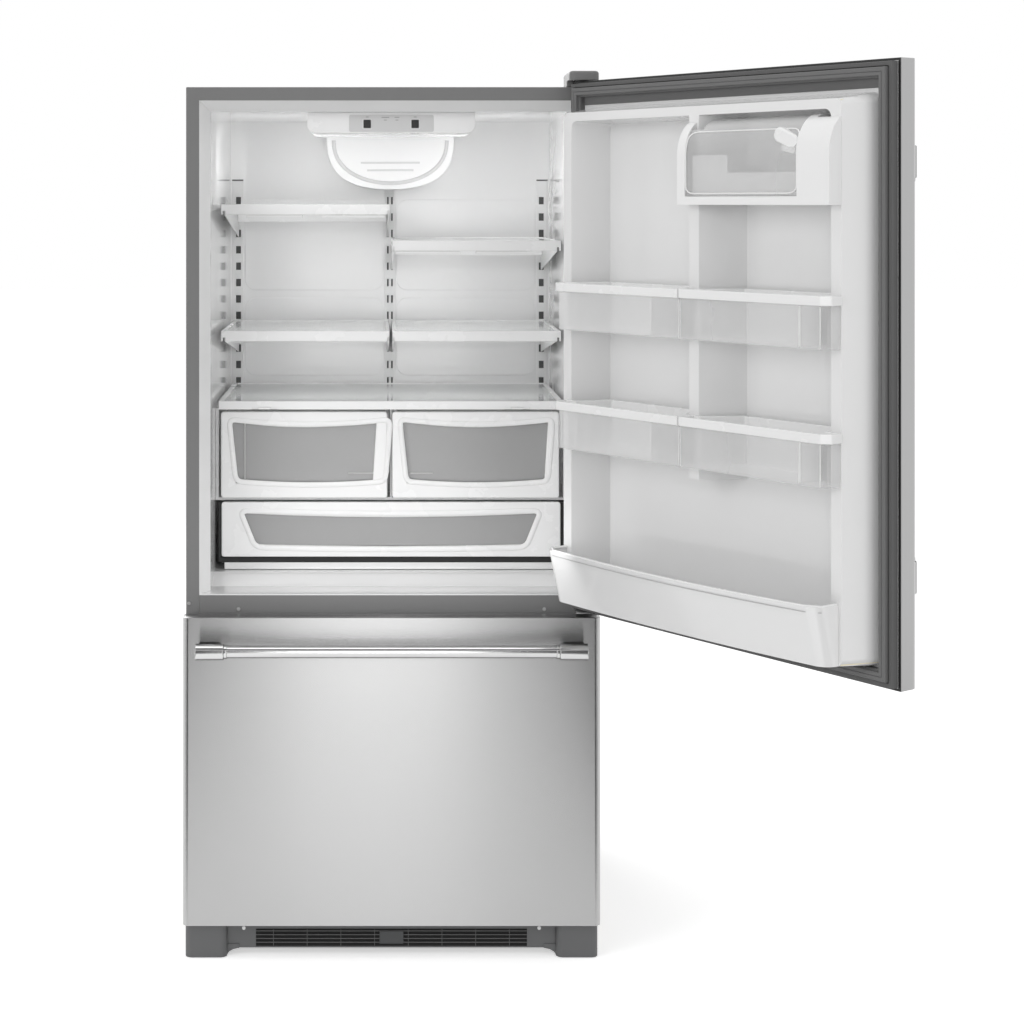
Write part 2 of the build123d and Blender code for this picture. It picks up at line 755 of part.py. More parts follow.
def bin_edge(side, low):
    """The white rim that sits on a bin."""
    outline = bin_outline(side, 1.6, bin_rim_over)
    prism(Plane.XY, outline, low, low + bin_rim)
    with BuildSketch(Plane.XY.offset(low)) as inside:
        with BuildLine():
            Polyline(*outline, close=True)
        make_face()
        offset(amount=-bin_rim_wall, kind=Kind.INTERSECTION, mode=Mode.REPLACE)
    extrude(inside.sketch, amount=bin_rim, mode=Mode.SUBTRACT)


with BuildPart() as door_bins:
    for low in (upper_bin_low, lower_bin_low):
        for side in both(1):
            bin_body(side, low)

with BuildPart() as bin_rims:
    for low in (upper_bin_low, lower_bin_low):
        for side in both(1):
            bin_edge(side, low + bin_height)

# ---------------------------------------------------------------- dairy compartment

lid_left = dairy_left - dairy_left_cheek - lid_play
lid_right = dairy_right + dairy_right_cheek + lid_play


def cheek(x_from, x_to, y_back, grow=0.0, mode=Mode.ADD):
    """A round-topped side wall of the dairy compartment, from a depth to its front."""
    corner = (Align.MIN, Align.MIN)
    with BuildSketch(Plane.YZ.offset(x_from)) as outline:
        with Locations((at(dairy_back), dairy_spring)):
            Ellipse(dairy_reach + grow, dairy_rise + grow)
            Rectangle(dairy_reach + grow, dairy_rise + grow, align=corner, mode=Mode.INTERSECT)
        with Locations((at(y_back), dairy_low)):
            Rectangle(dairy_back + dairy_reach + grow - y_back, dairy_spring - dairy_low, align=corner)
            if y_back < dairy_back:
                Rectangle(dairy_back - y_back, dairy_spring + dairy_rise + grow - dairy_low, align=corner)
    extrude(outline.sketch, amount=x_to - x_from, mode=mode)


cheek_back = knee + 6
column_side = pocket_half - 9
with BuildPart() as dairy_housing:
    cheek(dairy_right, lid_right - lid_play, bin_seat - 30)
    cheek(-column_side, lid_right - lid_play, cheek_back)
    cheek(lid_left + lid_play, dairy_left, bin_seat - 30)
    # Only the part in front of the rim is full width, so that it hangs on the rim.
    for x in ((dairy_right, -pocket_half + 4), (dairy_left - dairy_left_cheek, dairy_left)):
        block(x, (at(bin_seat - 31), at(bin_seat)), (dairy_low, dairy_over), Mode.SUBTRACT)
    block(
        (dairy_right, dairy_left), (at(bin_seat), at(dairy_back + dairy_reach)),
        (dairy_low, dairy_low + dairy_sill),
    )
    block(
        (-column_side, pillar_x - pillar_half - 3), (at(cheek_back), at(bin_seat)),
        (dairy_low, dairy_low + 3),
    )
    for x in (lid_left + lid_play, lid_right - lid_play):
        depth = 4.0 if x > lid_right else -4.0
        rod(Plane.YZ, at(lid_pivot_y), lid_pivot_z, lid_pin + pin_play, x, x + depth, Mode.SUBTRACT)

lid_foot = dairy_low + dairy_sill + lid_play
lid_notch = pillar_half - 21     # where the lid stands back to pass the upright as it opens
lid_nose = dairy_back + dairy_reach + 8
with BuildPart() as dairy_lid:
    cheek(lid_right, lid_left, dairy_back, -2.0)
    cheek(lid_right + lid_wall, lid_left - lid_wall, dairy_back, -2.0 - lid_wall, Mode.SUBTRACT)
    block((lid_right, lid_left), (at(dairy_back), at(lid_nose)), (dairy_low, lid_foot), Mode.SUBTRACT)
    block((lid_right, lid_left), (at(dairy_back), at(bin_seat + 1)), (dairy_low, lid_pivot_z - 14), Mode.SUBTRACT)
    notch = (pillar_x - lid_notch, lid_left)
    block(notch, (at(dairy_back), at(bin_seat + 2)), (dairy_low, dairy_over), Mode.SUBTRACT)
    block(notch, (at(bin_seat), at(lid_nose)), (lid_pivot_z + 4, dairy_over), Mode.SUBTRACT)
    rod(Plane.YZ, at(lid_pivot_y), lid_pivot_z, lid_pin, lid_left - lid_wall, lid_left + lid_play + 3.5)
    rod(Plane.YZ, at(lid_pivot_y), lid_pivot_z, lid_pin, lid_right - lid_play - 3.5, lid_right + lid_wall)

# ---------------------------------------------------------------- handles


# Each is a round bar between two thicker ends, each on a post that meets the steel face.
handle_y = face - handle_stand
bar_half = handle_length / 2 - handle_end_length
post_x = (handle_length / 2 - 44, handle_length / 2 - 4)
with BuildPart() as freezer_handle:
    rod(Plane.YZ, handle_y, drawer_handle_z, handle_radius, -bar_half, bar_half)
    for side in both(1):
        rod(Plane.YZ, handle_y, drawer_handle_z, handle_end_radius, side * bar_half, side * handle_length / 2)
        fillet(edges().group_by(Axis.X)[-1 if side > 0 else 0], 3)
        block(
            (side * post_x[0], side * post_x[1]), (handle_y, face - fit),
            (drawer_handle_z - handle_post_height / 2, drawer_handle_z + handle_post_height / 2),
        )

door_handle_x = -door_half + door_handle_inset
door_handle_z = (door_low + door_high) / 2
with BuildPart() as door_handle:
    rod(Plane.XY, door_handle_x, handle_y, handle_radius, door_handle_z - bar_half, door_handle_z + bar_half)
    for side in both(1):
        rod(
            Plane.XY, door_handle_x, handle_y, handle_end_radius,
            door_handle_z + side * bar_half, door_handle_z + side * handle_length / 2,
        )
        fillet(edges().group_by(Axis.Z)[-1 if side > 0 else 0], 3)
        block(
            (door_handle_x - handle_post_height / 2, door_handle_x + handle_post_height / 2),
            (handle_y, face - fit), (door_handle_z + side * post_x[0], door_handle_z + side * post_x[1]),
        )

# ---------------------------------------------------------------- hinges

bracket = 3.0
bracket_x = (hinge_x - 22, hinge_x + 18)
bracket_gap = 1.5
with BuildPart() as door_hinges:
    # Top bracket: screwed to the cabinet's roof, stepped up over the door, with its pin.
    block(bracket_x, (front + 8, front + 62), (cabinet_height, cabinet_height + bracket))
    top_z = door_high + bracket_gap
    block(bracket_x, (front + 8, front + 8 + bracket), (cabinet_height, top_z + bracket))
    block(bracket_x, (hinge_y - 14, front + 8 + bracket), (top_z, top_z + bracket))
    rod(Plane.XY, hinge_x, hinge_y, pin_radius, door_high - bush_depth + 3, top_z + bracket)
    # Centre bracket: screwed to the rail's face, between the drawer and the door.
    low_z = door_low - bracket_gap - bracket
    block(bracket_x, (hinge_y - 14, front - fit), (low_z, low_z + bracket))
    block(bracket_x, (front - fit - bracket, front - fit), (low_z - 18, low_z + bracket))
    rod(Plane.XY, hinge_x, hinge_y, pin_radius, low_z, door_low + bush_depth - 3)

with BuildPart() as hinge_bushings:
    for low, high in ((door_low, door_low + bush_depth), (door_high - bush_depth, door_high)):
        rod(Plane.XY, hinge_x, hinge_y, pin_radius + 3 - 0.02, low, high)
        rod(Plane.XY, hinge_x, hinge_y, pin_radius + pin_play, low, high, Mode.SUBTRACT)

cap_x = (hinge_x - 37, hinge_x + 23)
cap_y = (hinge_y - 19, front + 75)
cap_high = cabinet_height + 30
cap_low = top_z - 0.5
with BuildPart() as top_hinge_cover:
    block(cap_x, cap_y, (cap_low, cap_high))
    block(cap_x, (front + 4, cap_y[1]), (cabinet_height + fit, cap_low))
    fillet(top_hinge_cover.edges().filter_by(Axis.Z).group_by(Axis.Y)[0], 12)
    fillet(top_hinge_cover.faces().sort_by(Axis.Z)[-1].edges(), 6)
    block(
        (bracket_x[0] - 1, bracket_x[1] + 1), (hinge_y - 15, front + 64),
        (cabinet_height, top_z + bracket + 1), Mode.SUBTRACT,
    )

# ---------------------------------------------------------------- shelves

with BuildPart() as shelf_ladders:
    ladder_y = (fresh_back - ladder_sheet, fresh_back)
    block((-ladder_width / 2, ladder_width / 2), ladder_y, (ladder_low, lamp_cover_low - 3))
    for x in both(ladder_x):
        block((x - ladder_width / 2, x + ladder_width / 2), ladder_y, (ladder_low, ladder_high))
    slots_z = ladder_top_slot - ladder_pitch * (ladder_slots - 1) / 2
    with BuildSketch(upright(fresh_back)):
        with Locations((0, slots_z)):
            with GridLocations(2 * ladder_x, ladder_pitch, 2, ladder_slots):
                Rectangle(slot_width, slot_height)
            with GridLocations(2 * twin_slot_x, ladder_pitch, 2, ladder_slots):
                Rectangle(twin_slot_width, slot_height)
    extrude(amount=ladder_sheet, mode=Mode.SUBTRACT)

shelf_y = (front + shelf_front, front + shelf_front + shelf_depth)
shelf_sides = {"left": -1, "right": 1}
glass_drop = 1.5


def shelf_top(name):
    """The height of a shelf's top, hung from its row of slots."""
    return ladder_top_slot - ladder_pitch * shelf_rows[name] - shelf_drop


def shelf_span(name):
    """The x limits of a shelf, from its inner to its outer edge."""
    side = shelf_sides[name.split("_")[1]]
    return side * shelf_gap, side * (shelf_gap + shelf_width)


with BuildPart() as shelf_frames:
    for name in shelf_rows:
        top = shelf_top(name)
        x = sorted(shelf_span(name))
        block(x, shelf_y, (top - shelf_side, top))
        block(x, (shelf_y[0], shelf_y[0] + shelf_ring), (top - shelf_trim, top))
        block(x, (shelf_y[1] - 3, shelf_y[1]), (top - shelf_trim - 19, top))
        inner = (x[0] + shelf_ring, x[1] - shelf_ring)
        inner_y = (shelf_y[0] + shelf_ring, shelf_y[1] - shelf_ring)
        block(inner, inner_y, (top - shelf_side, top), Mode.SUBTRACT)
        lip = 4.0
        block(
            (inner[0] - lip, inner[1] + lip), (inner_y[0] - lip, inner_y[1] + lip),
            (top - glass_drop - glass, top), Mode.SUBTRACT,
        )
        side = shelf_sides[name.split("_")[1]]
        for x in (side * twin_slot_x, side * ladder_x):
            notch = bracket_sheet / 2 + 1
            block((x - notch, x + notch), shelf_y, (top - 2 * shelf_trim, top - shelf_side), Mode.SUBTRACT)

cover_y = (front + crisper_cover_front, front + crisper_cover_front + crisper_cover_depth)
cover_ring = 14.0
with BuildPart() as glass_panes:
    for name in shelf_rows:
        top = shelf_top(name)
        x = sorted(shelf_span(name))
        edge = shelf_ring - 4 + fit
        block(
            (x[0] + edge, x[1] - edge), (shelf_y[0] + edge, shelf_y[1] - edge),
            (top - glass_drop - glass, top - glass_drop),
        )
    edge = cover_ring - 4 + fit
    block(
        (edge - crisper_cover_half, crisper_cover_half - edge), (cover_y[0] + edge, cover_y[1] - edge),
        (crisper_cover_high - glass_drop - glass, crisper_cover_high - glass_drop),
    )

with BuildPart() as shelf_brackets:
    for name, row in shelf_rows.items():
        side = shelf_sides[name.split("_")[1]]
        high = shelf_top(name) - shelf_side
        reach = shelf_y[0] + 3 * shelf_ring
        hook_z = ladder_top_slot - ladder_pitch * (row + 1)
        for x in (side * twin_slot_x, side * ladder_x):
            arm = [
                (reach, high), (reach, high - bracket_nose), (fresh_back - ladder_sheet, high - bracket_height),
                (fresh_back - ladder_sheet, high),
            ]
            prism(Plane.YZ, arm, x - bracket_sheet / 2, x + bracket_sheet / 2)
            block(
                (x - bracket_sheet / 2, x + bracket_sheet / 2),
                (fresh_back - ladder_sheet, fresh_back - 0.5), (hook_z - 7, hook_z + 7),
            )

# ---------------------------------------------------------------- crispers and pantry

pantry_cover_low = pantry_high + 1.5
pantry_cover_high = pantry_cover_low + 5.5
support_y = (front + drawer_front_depth + drawer_frame + 8, cover_y[1] - 10)
with BuildPart() as crisper_cover:
    # Rim of the glass cover, with the guides of the humidity sliders in its front edge.
    x = (-crisper_cover_half, crisper_cover_half)
    block(x, cover_y, (crisper_cover_low, crisper_cover_high))
    inner = (x[0] + cover_ring, x[1] - cover_ring)
    inner_y = (cover_y[0] + cover_ring, cover_y[1] - cover_ring)
    block(inner, inner_y, (crisper_cover_low, crisper_cover_high), Mode.SUBTRACT)
    lip = 4.0
    block(
        (inner[0] - lip, inner[1] + lip), (inner_y[0] - lip, inner_y[1] + lip),
        (crisper_cover_high - glass_drop - glass, crisper_cover_high), Mode.SUBTRACT,
    )
    for side in both(slider_x):
        block(
            (side - slider_length, side + slider_length), (cover_y[0], cover_y[0] + 5),
            (crisper_cover_low, crisper_cover_low + 5), Mode.SUBTRACT,
        )
    # The sheet over the pantry drawer that carries the crispers, and its three hangers.
    block((-chamber_half + fit, chamber_half - fit), support_y, (pantry_cover_low, pantry_cover_high))
    for low, high in ((-chamber_half + fit, -chamber_half + 7), (-2, 2), (chamber_half - 7, chamber_half - fit)):
        block((low, high), support_y, (pantry_cover_low, crisper_cover_low))


def drawer_box(x, low, high):
    """A clear drawer, open at the top."""
    y = front + drawer_front_depth + drawer_frame
    x = sorted(x)
    block(x, (y, y + drawer_box_depth), (low, high))
    block(
        (x[0] + drawer_wall, x[1] - drawer_wall), (y + drawer_wall, y + drawer_box_depth - drawer_wall),
        (low + drawer_wall, high), Mode.SUBTRACT,
    )


def drawer_face(x, low, high, margins, dip, taper):
    """The white frame of a drawer front, with its window."""
    y = front + drawer_front_depth
    x = sorted(x)
    with BuildSketch(upright(y)) as frame:
        with Locations(((x[0] + x[1]) / 2, (low + high) / 2)):
            RectangleRounded(x[1] - x[0], high - low, 6)
        left, right = x[0] + margins[0], x[1] - margins[1]
        top, bottom = high - margins[2], low + margins[3]
        with BuildLine():
            Spline((left, top), ((left + right) / 2, top - dip), (right, top))
            Line((right, top), (right - taper, bottom))
            ThreePointArc((right - taper, bottom), ((left + right) / 2, bottom - dip / 2), (left + taper, bottom))
            Line((left + taper, bottom), (left, top))
        make_face(mode=Mode.SUBTRACT)
    extrude(frame.sketch, amount=-drawer_frame + fit)
    fillet(edges().filter_by(Axis.X).group_by(Axis.Y)[0].sort_by(Axis.Z)[-1], 3)


box_margin = 6.0
crisper_box_low = pantry_cover_high + fit      # the crispers slide on the sheet below them
crisper_box_high = crisper_high - 6
with BuildPart() as crisper_left_front:
    drawer_face((-crisper_outer, -crisper_inner - 2.6), crisper_low, crisper_high, (23, 23, 21, 31), 12, 8)

with BuildPart() as crisper_right_front:
    drawer_face((crisper_inner - 2.6, crisper_outer - 4), crisper_low, crisper_high, (23, 23, 21, 31), 12, 8)

with BuildPart() as pantry_front:
    drawer_face((-pantry_half, pantry_half), pantry_low, pantry_high, (45, 48, 24, 26), 8, 27)

with BuildPart() as crisper_left_bin:
    drawer_box((-crisper_outer + box_margin, -2 * crisper_inner), crisper_box_low, crisper_box_high)

with BuildPart() as crisper_right_bin:
    drawer_box((2 * crisper_inner, crisper_outer - 4 - box_margin), crisper_box_low, crisper_box_high)

with BuildPart() as pantry_bin:
    drawer_box((box_margin - pantry_half, pantry_half - box_margin), pantry_low, pantry_high - 4)
    # Two runners that rest on the floor of the compartment.
    y = front + drawer_front_depth + drawer_frame
    for side in both(pantry_half - 30):
        block((side - 6, side + 6), (y + 4, y + drawer_box_depth), (fresh_floor + fit, pantry_low))


def slider(x):
    """A tab that opens or shuts a crisper's air vent."""
    block(
        (x - slider_length / 2, x + slider_length / 2), (cover_y[0] - 3, cover_y[0] + 5 - fit),
        (crisper_cover_low + fit, crisper_cover_low + 5 - fit),
    )


with BuildPart() as humidity_slider_left:
    slider(-slider_x)

with BuildPart() as humidity_slider_right:
    slider(slider_x)

# ---------------------------------------------------------------- controls and lamp

housing_y = (front + housing_front, front + housing_back)
bore_depth = 8.0
with BuildPart() as control_housing:
    with BuildSketch(upright(housing_y[0])):
        with Locations((0, (housing_low + fresh_ceiling) / 2)):
            outline = Rectangle(2 * housing_half, fresh_ceiling - housing_low - fit)
        fillet(outline.vertices().group_by(Axis.Y)[0], 18)
    extrude(amount=housing_y[0] - housing_y[1])
    with BuildSketch(upright(housing_y[0])):
        for x in both(button_x):
            with Locations((x, button_z)):
                Rectangle(button_width + 2 * button_play, button_height + 2 * button_play)
    extrude(amount=-bore_depth, mode=Mode.SUBTRACT)
    # Hollow behind its front, and open towards the ceiling.
    block(
        (3 - housing_half, housing_half - 3), (housing_y[0] + bore_depth + 3, housing_y[1] - 3),
        (housing_low + 3, fresh_ceiling), Mode.SUBTRACT,
    )


def button(x):
    """A control key, proud of the housing by more than its travel."""
    block(
        (x - button_width / 2, x + button_width / 2),
        (housing_y[0] - button_travel - 0.5, housing_y[0] + bore_depth - button_travel - fit),
        (button_z - button_height / 2, button_z + button_height / 2),
    )


with BuildPart() as control_button_left:
    button(-button_x)

with BuildPart() as control_button_right:
    button(button_x)


def lamp_shade(grow, y, mode):
    """The U-shaped cover of the lamp, from the ceiling down."""
    top = fresh_ceiling - fit
    width = lamp_cover_half + grow
    low = lamp_cover_low - grow
    with BuildSketch(upright(y)) as outline:
        with BuildLine():
            Line((-width, top), (-width, low + 110))
            Spline(
                (-width, low + 110), (0, low), (width, low + 110),
                tangents=((0, -1), (1, 0), (0, 1)), tangent_scalars=(1.3, 1.6, 1.3),
            )
            Line((width, low + 110), (width, top))
            Line((width, top), (-width, top))
        make_face()
    extrude(outline.sketch, amount=y - fresh_back + fit, mode=mode)


with BuildPart() as light_cover:
    lamp_shade(0, front + lamp_cover_front, Mode.ADD)
    lamp_shade(-3, front + lamp_cover_front + 3, Mode.SUBTRACT)

lamp_y = fresh_back - 60
with BuildPart() as lamp:
    with Locations((0, lamp_y, lamp_z)):
        Sphere(lamp_radius)
    rod(upright(lamp_y), 0, lamp_z, 11, -(fresh_back - lamp_y) + fit, 0)

# ---------------------------------------------------------------- freezer inside

with BuildPart() as evaporator_cover:
    block(
        (-chamber_half + fit, chamber_half - fit), (front + cover_face, front + cover_face + 2),
        (step_height + fit, freezer_ceiling - fit),
    )
    rod(upright(front + cover_face), 0, fan_z, fan_radius + 7, 0, -2, Mode.SUBTRACT)
    with BuildSketch(upright(front + cover_face)):
        with Locations((0, step_height + 40)):
            with GridLocations(90, 12, 7, 3):
                SlotOverall(70, 5)
    extrude(amount=-2, mode=Mode.SUBTRACT)


def serpentine(plane, width, pitch, passes, tube):
    """A tube that runs to and fro across a plane, as one unbroken sweep."""
    reach = width / 2
    with BuildLine(plane) as path:
        for n in range(passes):
            side = 1 if n % 2 == 0 else -1
            y = pitch * n
            Line((-side * reach, y), (side * reach, y))
            if n < passes - 1:
                ThreePointArc(
                    (side * reach, y), (side * (reach + pitch / 2), y + pitch / 2), (side * reach, y + pitch)
                )
    start = path.wires()[0]
    with BuildSketch(Plane(origin=start @ 0, z_dir=start % 0)) as section:
        Circle(tube)
    sweep(section.sketch, path=start)


fin_half = 22.0
fin_pitch = 28.0
coil_width = chamber_width - 200
coil_pitch = 24.0
fin_count = int((coil_width - 36) / fin_pitch) + 1
coil_passes = int((evaporator_z[1] - evaporator_z[0] - coil_pitch) / coil_pitch) + 1
coil_y = fresh_back - fin_half - fit           # the fins lie against the back wall
coil_plane = Plane(origin=(0, coil_y, evaporator_z[0] + coil_pitch / 2), x_dir=(1, 0, 0), z_dir=(0, -1, 0))
with BuildPart() as evaporator_coil:
    serpentine(coil_plane, coil_width, coil_pitch, coil_passes, 4)
    for n in range(fin_count):
        x = fin_pitch * (n - (fin_count - 1) / 2)
        block((x, x + 1.2), (coil_y - fin_half, coil_y + fin_half), evaporator_z)

fan_y = front + cover_face + 14
with BuildPart() as fan_motors:
    # Behind the freezer's fan, held on the compartment's back wall.
    rod(upright(fan_y + 8), 0, fan_z, 24, 0, -(fresh_back - fan_y - 8) + fit)
    rod(upright(fan_y + 8), 0, fan_z, 3, 0, 16)
    # In the machine room, on a stand on the base plate.
    machine_fan = (60.0, front + machine_middle, 150.0)
    rod(Plane.YZ, machine_fan[1], machine_fan[2], 26, machine_fan[0] - 52, machine_fan[0] - 14)
    rod(Plane.YZ, machine_fan[1], machine_fan[2], 3, machine_fan[0] - 14, machine_fan[0] + 8)
    block(
        (machine_fan[0] - 46, machine_fan[0] - 20), (machine_fan[1] - 20, machine_fan[1] + 20),
        (cabinet_base + 3 + fit, machine_fan[2]),
    )


def fan(plane, x, y, radius, middle):
    """A hub and five pitched blades, bored for its shaft."""
    rod(plane, x, y, 14, middle - 6, middle + 6)
    spin = Plane(origin=plane.offset(middle).from_local_coords((x, y, 0)), x_dir=plane.x_dir, z_dir=plane.z_dir)
    with BuildPart(spin, mode=Mode.PRIVATE) as blade:
        with Locations(Location(((radius + 10) / 2, 0, 0), (28, 0, 0))):
            Box(radius - 10, radius * 0.52, 1.6)
    for n in range(5):
        add(blade.part.rotate(Axis(spin.origin, spin.z_dir), 72 * n))
    rod(plane, x, y, 3.06, middle - 6, middle + 6, Mode.SUBTRACT)


with BuildPart() as evaporator_fan:
    fan(upright(0), 0, fan_z, fan_radius, -fan_y)

with BuildPart() as condenser_fan:
    fan(Plane.YZ, machine_fan[1], machine_fan[2], 78, machine_fan[0])

# ---------------------------------------------------------------- machine room

plate_top = cabinet_base + 3
with BuildPart() as compressor:
    with BuildSketch(Plane.XZ) as dome:
        with BuildLine():
            Line((0, plate_top + 12), (78, plate_top + 12))
            Line((78, plate_top + 12), (84, plate_top + 60))
            Line((84, plate_top + 60), (84, plate_top + 96))
            RadiusArc((84, plate_top + 96), (40, plate_top + 160), -70)
            Line((40, plate_top + 160), (0, plate_top + 160))
            Line((0, plate_top + 160), (0, plate_top + 12))
        make_face()
    revolve(axis=Axis.Z)
    block((-90, 90), (-62, 62), (plate_top + 8, plate_top + 13))
    for x in both(76):
        for y in both(50):
            rod(Plane.XY, x, y, 9, plate_top + fit, plate_top + 8)
compressor.part = compressor.part.translate((165 - chamber_half, front + machine_middle, 0))

with BuildPart() as condenser_coil:
    for row in range(3):
        row_plane = Plane(
            origin=((condenser_x[0] + condenser_x[1]) / 2, front + machine_front + 60 + 60 * row, 84),
            x_dir=(1, 0, 0), z_dir=(0, -1, 0),
        )
        serpentine(row_plane, condenser_x[1] - condenser_x[0] - 30, 26, 6, 3.2)
    # Two end plates that carry the rows and stand on the base plate.
    for x in (condenser_x[0] + 22, condenser_x[1] - 24):
        block((x, x + 2), (front + machine_front + 50, front + machine_front + 190), (plate_top + fit, 236))

with BuildPart() as drain_pan:
    x = (condenser_x[0] + 28, condenser_x[1] - 28)
    y = (front + machine_front + 40, front + machine_front + 210)
    block(x, y, (plate_top + fit, plate_top + 30 - fit))
    block((x[0] + 2, x[1] - 2), (y[0] + 2, y[1] - 2), (plate_top + 3, plate_top + 30), Mode.SUBTRACT)

# ---------------------------------------------------------------- freezer drawer

plug_half = chamber_half - 22
plug_y = front + 6.4
plug_z = (freezer_floor + 8, freezer_ceiling - 20)


def plug_core(mode):
    """The foam inside the raised middle of the drawer's inner plate."""
    x = plug_half - plate
    block((-x, x), (at(core_back), plug_y - plate), (plug_z[0] + plate, plug_z[1] - plate), mode)


with BuildPart() as freezer_foam:
    foam_slab(drawer_low, drawer_high)
    plug_core(Mode.ADD)

with BuildPart() as freezer_inner:
    inner_plate(drawer_low, drawer_high)
    block((-plug_half, plug_half), (at(knee), plug_y), plug_z)
    fillet(edges().group_by(Axis.Y)[-1], 1.5)
    plug_core(Mode.SUBTRACT)

member = 2.2
channel_x = (chamber_half - fit - slide_channel - member, chamber_half - fit)
slide_z = (slide_low, slide_high)
with BuildPart() as slide_outer_members:
    for side in both(1):
        block((side * channel_x[0], side * channel_x[1]), (front + slide_front, front + slide_back), slide_z)
        block(
            (side * channel_x[0], side * (channel_x[1] - member)), (front + slide_front, front + slide_back),
            (slide_z[0] + member, slide_z[1] - member), Mode.SUBTRACT,
        )

middle_x = (channel_x[0] - 3, channel_x[1] - member - fit)
middle_z = (slide_z[0] + member + fit, slide_z[1] - member - fit)
with BuildPart() as slide_middle_members:
    for side in both(1):
        y = (front + slide_front, front + slide_back - 8)
        block((side * middle_x[0], side * middle_x[1]), y, middle_z)
        block(
            (side * middle_x[0], side * (middle_x[1] - member)), y,
            (middle_z[0] + member, middle_z[1] - member), Mode.SUBTRACT,
        )

inner_x = (middle_x[0] - 6, middle_x[1] - member - fit)
inner_z = (middle_z[0] + member + fit, middle_z[1] - member - fit)
lip_z = inner_z[1] + fit
with BuildPart() as freezer_basket:
    # Two inner slide members on the drawer's back, and the deep basket that hangs on them.
    for side in both(1):
        block(
            (side * inner_x[0], side * inner_x[1]), (at(knee) + fit, front + slide_back - 16), inner_z,
        )
    y = (front + basket_front, front + basket_back)
    block((-basket_half, basket_half), y, (basket_low, lip_z + 3))
    fillet(edges().filter_by(Axis.Z).filter_by_position(Axis.X, -basket_half - 1, basket_half + 1), 18)
    block((0.6 - middle_x[0], middle_x[0] - 0.6), y, (lip_z, lip_z + 3))
    block(
        (basket_wall - basket_half, basket_half - basket_wall), (y[0] + basket_wall, y[1] - basket_wall),
        (basket_low + basket_wall, lip_z + 3), Mode.SUBTRACT,
    )

tray_z = lip_z + 3 + fit
with BuildPart() as freezer_tray:
    y = (front + tray_front, front + tray_back)
    block((-tray_half, tray_half), y, (tray_z, tray_high))
    fillet(edges().filter_by(Axis.Z), 14)
    block((1 - middle_x[0], middle_x[0] - 1), (y[0] + 20, y[1] - 20), (tray_z, tray_z + 3))
    block(
        (basket_wall - tray_half, tray_half - basket_wall), (y[0] + basket_wall, y[1] - basket_wall),
        (tray_z + basket_wall, tray_high), Mode.SUBTRACT,
    )

# ---------------------------------------------------------------- screws

with BuildPart() as screws:
    # Two on the rail, one on the flange, two on the toe grille, as cross-headed caps.
    heads = [(x, front, drawer_high + 4.5) for x in both(chamber_half - 60)]
    heads += [(6 - half, front, door_low + 7.4)]
    heads += [(x, grille_y, boss_z) for x in both(boss_x)]
    for x, y, z in heads:
        rod(upright(y), x, z, screw_radius, 0, 1.6)
        with BuildSketch(upright(y - 1.6)):
            with Locations((x, z)):
                Rectangle(4, 0.9)
                Rectangle(0.9, 4)
        extrude(amount=-0.8, mode=Mode.SUBTRACT)

# ---------------------------------------------------------------- the finished pieces

standing = {
    "cabinet_shell": cabinet_shell, "rear_panels": rear_panels, "cabinet_foam": cabinet_foam,
    "fresh_food_liner": fresh_food_liner, "freezer_liner": freezer_liner, "front_rails": front_rails,
    "base_frame": base_frame, "front_rollers": front_rollers, "rear_rollers": rear_rollers,
    "levelling_leg_left": levelling_leg_left, "levelling_leg_right": levelling_leg_right,
    "toe_grille": toe_grille, "door_hinges": door_hinges, "top_hinge_cover": top_hinge_cover,
    "shelf_ladders": shelf_ladders, "shelf_frames": shelf_frames, "glass_panes": glass_panes,
    "shelf_brackets": shelf_brackets, "crisper_cover": crisper_cover,
    "crisper_left_front": crisper_left_front, "crisper_left_bin": crisper_left_bin,
    "crisper_right_front": crisper_right_front, "crisper_right_bin": crisper_right_bin,
    "pantry_front": pantry_front, "pantry_bin": pantry_bin,
    "humidity_slider_left": humidity_slider_left, "humidity_slider_right": humidity_slider_right,
    "control_housing": control_housing, "control_button_left": control_button_left,
    "control_button_right": control_button_right, "light_cover": light_cover, "lamp": lamp,
    "evaporator_cover": evaporator_cover, "evaporator_coil": evaporator_coil, "fan_motors": fan_motors,
    "evaporator_fan": evaporator_fan, "condenser_fan": condenser_fan, "compressor": compressor,
    "condenser_coil": condenser_coil, "drain_pan": drain_pan, "freezer_skin": freezer_skin,
    "freezer_foam": freezer_foam, "freezer_inner": freezer_inner, "freezer_gasket": freezer_gasket,
    "freezer_handle": freezer_handle, "freezer_basket": freezer_basket, "freezer_tray": freezer_tray,
    "slide_outer_members": slide_outer_members, "slide_middle_members": slide_middle_members,
    "screws": screws,
}

# The door's own pieces are drawn with the door shut and turned to where it stands open.
on_the_door = {
    "door_skin": door_skin, "door_foam": door_foam, "door_liner": door_liner, "door_gasket": door_gasket,
    "door_handle": door_handle, "hinge_bushings": hinge_bushings,
    "door_bins": door_bins, "bin_rims": bin_rims, "dairy_housing": dairy_housing, "dairy_lid": dairy_lid,
}

for label, piece in on_the_door.items():
    piece.part = piece.part.rotate(hinge, door_angle)

for label, piece in {**standing, **on_the_door}.items():
    piece.part.label = label
    export_step(piece.part, f"parts/{label}.step")
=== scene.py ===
"""Studio scene of a bottom freezer refrigerator with its upper door open.

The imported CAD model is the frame. Each sub-assembly is a class that dresses its CAD nodes
and models the pieces that a solid leaves out. Sizes are in millimetres in the CAD's own
frame: +X to the right, +Y into the cabinet, +Z up, with the origin on the floor. Pieces of
the door are modelled with the door shut and then turned to where it stands open.
"""

import json
import logging
import math
from contextlib import contextmanager
from dataclasses import dataclass
from enum import Enum
from typing import Callable, Dict, Iterator, List, Optional, Sequence, Tuple

import bpy
from mathutils import Matrix, Vector

